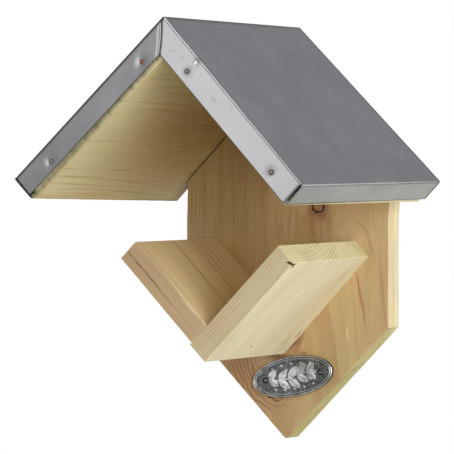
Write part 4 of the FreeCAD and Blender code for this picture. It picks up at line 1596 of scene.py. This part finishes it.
    def cast(self):
        """The whole oval plate, with its front in relief and a flat back."""
        sizes = self.sizes
        half_wide, half_high = sizes.plaque_width / 2, sizes.plaque_height / 2
        field = self.thick - sizes.plaque_relief
        edge = 0.2 * MM
        bm = bmesh.new()
        last = [bm.verts.new((0, 0, field))] * self.turns
        for number in range(1, self.rings + 1):
            share = (number / self.rings) ** 0.75
            ring = []
            for turn in range(self.turns):
                way = math.tau * turn / self.turns
                x, y = half_wide * share * math.cos(way), half_high * share * math.sin(way)
                slant = math.hypot(half_high * math.cos(way), half_wide * math.sin(way))
                inset = (1 - share) * half_wide * half_high / slant
                ring.append(bm.verts.new((x, y, field + sizes.plaque_relief * self.rise(x, y, inset))))
            bridge(bm, last, ring, closed=True)
            last = ring
        for height in (field - edge, 0):
            ring = oval_ring(bm, half_wide, half_high, height, self.turns)
            bridge(bm, last, ring, closed=True)
            last = ring
        bm.faces.new(last)
        bmesh.ops.recalc_face_normals(bm, faces=bm.faces)
        return bm


class HOUSE_OT_hanger(Operator):
    """Finishes the hanger plate and its screws, and puts cross-headed screws in the back"""

    bl_idname = "house.hanger"
    bl_label = "Hanger and Screws"

    def execute(self, context):
        plain = steel("screw_steel", rust=0.12)
        for node in ("hanger_plate", "hanger_screws"):
            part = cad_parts[node]
            part.data.materials.clear()
            part.data.materials.append(plain)
        for _, name in SIDES:
            node = f"tray_screws_{name}"
            for number, box in enumerate(solids_of(node)):
                screw = self.cross_headed(f"tray_screw_{name}_{number}", box)
                hand_over(screw, plain, "steel", node)
        return {"FINISHED"}

    def cross_headed(self, name, box):
        """A countersunk screw, flush with the back, with a cross recess."""
        low, high = box
        radius = half_width(box)
        shank = 0.45 * radius
        long = high.y - low.y
        lip, tip, deep, proud = 0.25 * MM, 3 * MM, 1.1 * MM, 1 * MM
        profile = [(0, 0), (radius * 0.9, 0), (radius, -lip), (shank, -radius * 0.6)]
        profile += [(shank, tip - long), (0, -long)]
        middle = middle_of(box)
        place = facing_back(Vector((middle.x, high.y, middle.z)))
        screw = new_piece(name, turned(profile), place)
        arm, wide = radius * 0.62, radius * 0.16
        for first, second in ((arm, wide), (wide, arm)):
            cut_away(screw, prism(rectangle(-first, -second, first, second), -deep, proud), place)
        even_normals(screw)
        return screw


# Stage

class HOUSE_OT_stage(Operator):
    """Sets the camera, the lamps, the pale floor and the white surroundings"""

    bl_idname = "house.stage"
    bl_label = "Stage"

    # Each lamp's name, the setting with its watts, its place and its width
    lamps = (
        ("key_lamp", "key", (1.5, -1.0, 0.1), 1.4),
        ("top_lamp", "top", (0.3, -0.5, 1.3), 0.8),
        ("rear_lamp_right", "rear", (1.2, 1.0, 0.05), 0.8),
        ("rear_lamp_left", "rear", (-1.2, 1.0, 0.05), 0.8),
        ("flange_card", "flange_card", (0.1, 0.5, -0.365), 0.22),
        ("fascia_card", "fascia_card", (-0.305, -1.08, 0.16), 0.34),
    )

    def execute(self, context):
        self.scene = context.scene
        self.studio = studio = context.scene.feeding_house.studio
        self.target = Vector((studio.target_x, studio.target_y, studio.target_z))
        self.scene.view_settings.view_transform = "Standard"
        self.floor()
        self.surroundings()
        self.camera()
        for name, watts, place, wide in self.lamps:
            self.lamp(name, getattr(studio, watts), place, wide)
        return {"FINISHED"}

    def camera(self):
        """A camera with a long lens, far off, that looks at its target."""
        studio = self.studio
        data = bpy.data.cameras.new("camera")
        data.lens = studio.camera_lens
        camera = bpy.data.objects.new("camera", data)
        side, rise = studio.camera_side, studio.camera_rise
        level = math.cos(rise)
        away = Vector((math.sin(side) * level, -math.cos(side) * level, math.sin(rise)))
        camera.location = self.target + away * studio.camera_reach
        camera.rotation_euler = (-away).to_track_quat("-Z", "Y").to_euler()
        data.clip_end = 20
        self.scene.collection.objects.link(camera)
        self.scene.camera = camera

    def lamp(self, name, watts, place, wide):
        """A square soft lamp that faces the house and stays out of the picture."""
        data = bpy.data.lights.new(name, "AREA")
        data.energy = watts
        data.size = wide
        lamp = bpy.data.objects.new(name, data)
        lamp.location = place
        lamp.rotation_euler = (self.target - Vector(place)).to_track_quat("-Z", "Y").to_euler()
        lamp.visible_camera = False
        self.scene.collection.objects.link(lamp)

    def seen(self, nodes, links):
        """1 on rays that come straight from the camera, or by way of metal or glass."""
        path = nodes.new("ShaderNodeLightPath")
        total = path.outputs["Is Camera Ray"]
        for name in ("Is Glossy Ray", "Is Transmission Ray"):
            most = nodes.new("ShaderNodeMath")
            most.operation = "MAXIMUM"
            links.new(total, most.inputs[0])
            links.new(path.outputs[name], most.inputs[1])
            total = most.outputs[0]
        return total

    def floor(self):
        """A wide pale floor under the house, white to the eye but for the house's shadow."""
        half = 6.0
        height = BACK_LOW.z - self.studio.floor_drop
        bm = bmesh.new()
        bm.faces.new([bm.verts.new((x, y, height)) for x, y in rectangle(-half, -half, half, half)])
        floor = new_piece("studio_floor", bm)
        recipe = Recipe("pale_floor")
        place = recipe.place()
        grit = recipe.mottle(place, (0.01, 0.01, 0.01))
        pale = self.scene.feeding_house.finishes.floor
        recipe.surface(Base_Color=pale, Roughness=recipe.span(grit, 0.3, 0.7, 0.85, 0.95))
        glow = recipe.add("ShaderNodeEmission", (1, 1, 1, 1), 1.0)
        far = recipe.measure("LENGTH", recipe.stretch(place, (1, 1, 0)))
        near_edge, far_edge = 300, 1200
        white = recipe.span(far, near_edge, far_edge, 0.8, 1.0)
        share = recipe.times(self.seen(recipe.nodes, recipe.links), white)
        mixed = recipe.add("ShaderNodeMixShader", share, recipe.shader.outputs[0], glow.outputs[0])
        recipe.feed(recipe.nodes["Material Output"].inputs["Surface"], mixed.outputs[0])
        floor.data.materials.append(recipe.material)

    def surroundings(self):
        """White surroundings that light the house evenly from all sides."""
        world = bpy.data.worlds.new("surroundings")
        world.use_nodes = True
        nodes, links = world.node_tree.nodes, world.node_tree.links
        back = nodes["Background"]
        back.inputs["Color"].default_value = (1, 1, 1, 1)
        strength = nodes.new("ShaderNodeMapRange")
        links.new(self.seen(nodes, links), strength.inputs["Value"])
        strength.inputs["To Min"].default_value = self.studio.ambient
        strength.inputs["To Max"].default_value = 1.0
        links.new(strength.outputs[0], back.inputs["Strength"])
        self.scene.world = world


OPERATORS = (
    HOUSE_OT_back_board,
    HOUSE_OT_roof_boards,
    HOUSE_OT_tray_boards,
    HOUSE_OT_roof_sheet,
    HOUSE_OT_nails,
    HOUSE_OT_plaque,
    HOUSE_OT_hanger,
    HOUSE_OT_stage,
)


class HOUSE_PT_panel(Panel):
    """Lists the feeding house's pieces and settings"""

    bl_idname = "HOUSE_PT_panel"
    bl_label = "Feeding House"
    bl_space_type = "VIEW_3D"
    bl_region_type = "UI"
    bl_category = "Feeding House"

    def draw(self, context):
        house = context.scene.feeding_house
        for operator in OPERATORS:
            self.layout.operator(operator.bl_idname)
        for group in (house.sizes, house.skew, house.finishes, house.studio):
            box = self.layout.box()
            for name in group.__annotations__:
                box.prop(group, name)


CLASSES = (HouseSizes, HouseSkew, HouseFinishes, HouseStudio, HouseSettings, *OPERATORS, HOUSE_PT_panel)


def register():
    for item in CLASSES:
        bpy.utils.register_class(item)
    bpy.types.Scene.feeding_house = PointerProperty(type=HouseSettings)


def unregister():
    del bpy.types.Scene.feeding_house
    for item in reversed(CLASSES):
        bpy.utils.unregister_class(item)


def main():
    register()
    bpy.ops.house.back_board()
    bpy.ops.house.roof_boards()
    bpy.ops.house.tray_boards()
    bpy.ops.house.roof_sheet()
    bpy.ops.house.nails()
    bpy.ops.house.plaque()
    bpy.ops.house.hanger()
    bpy.ops.house.stage()


if __name__ == "__main__":
    main()
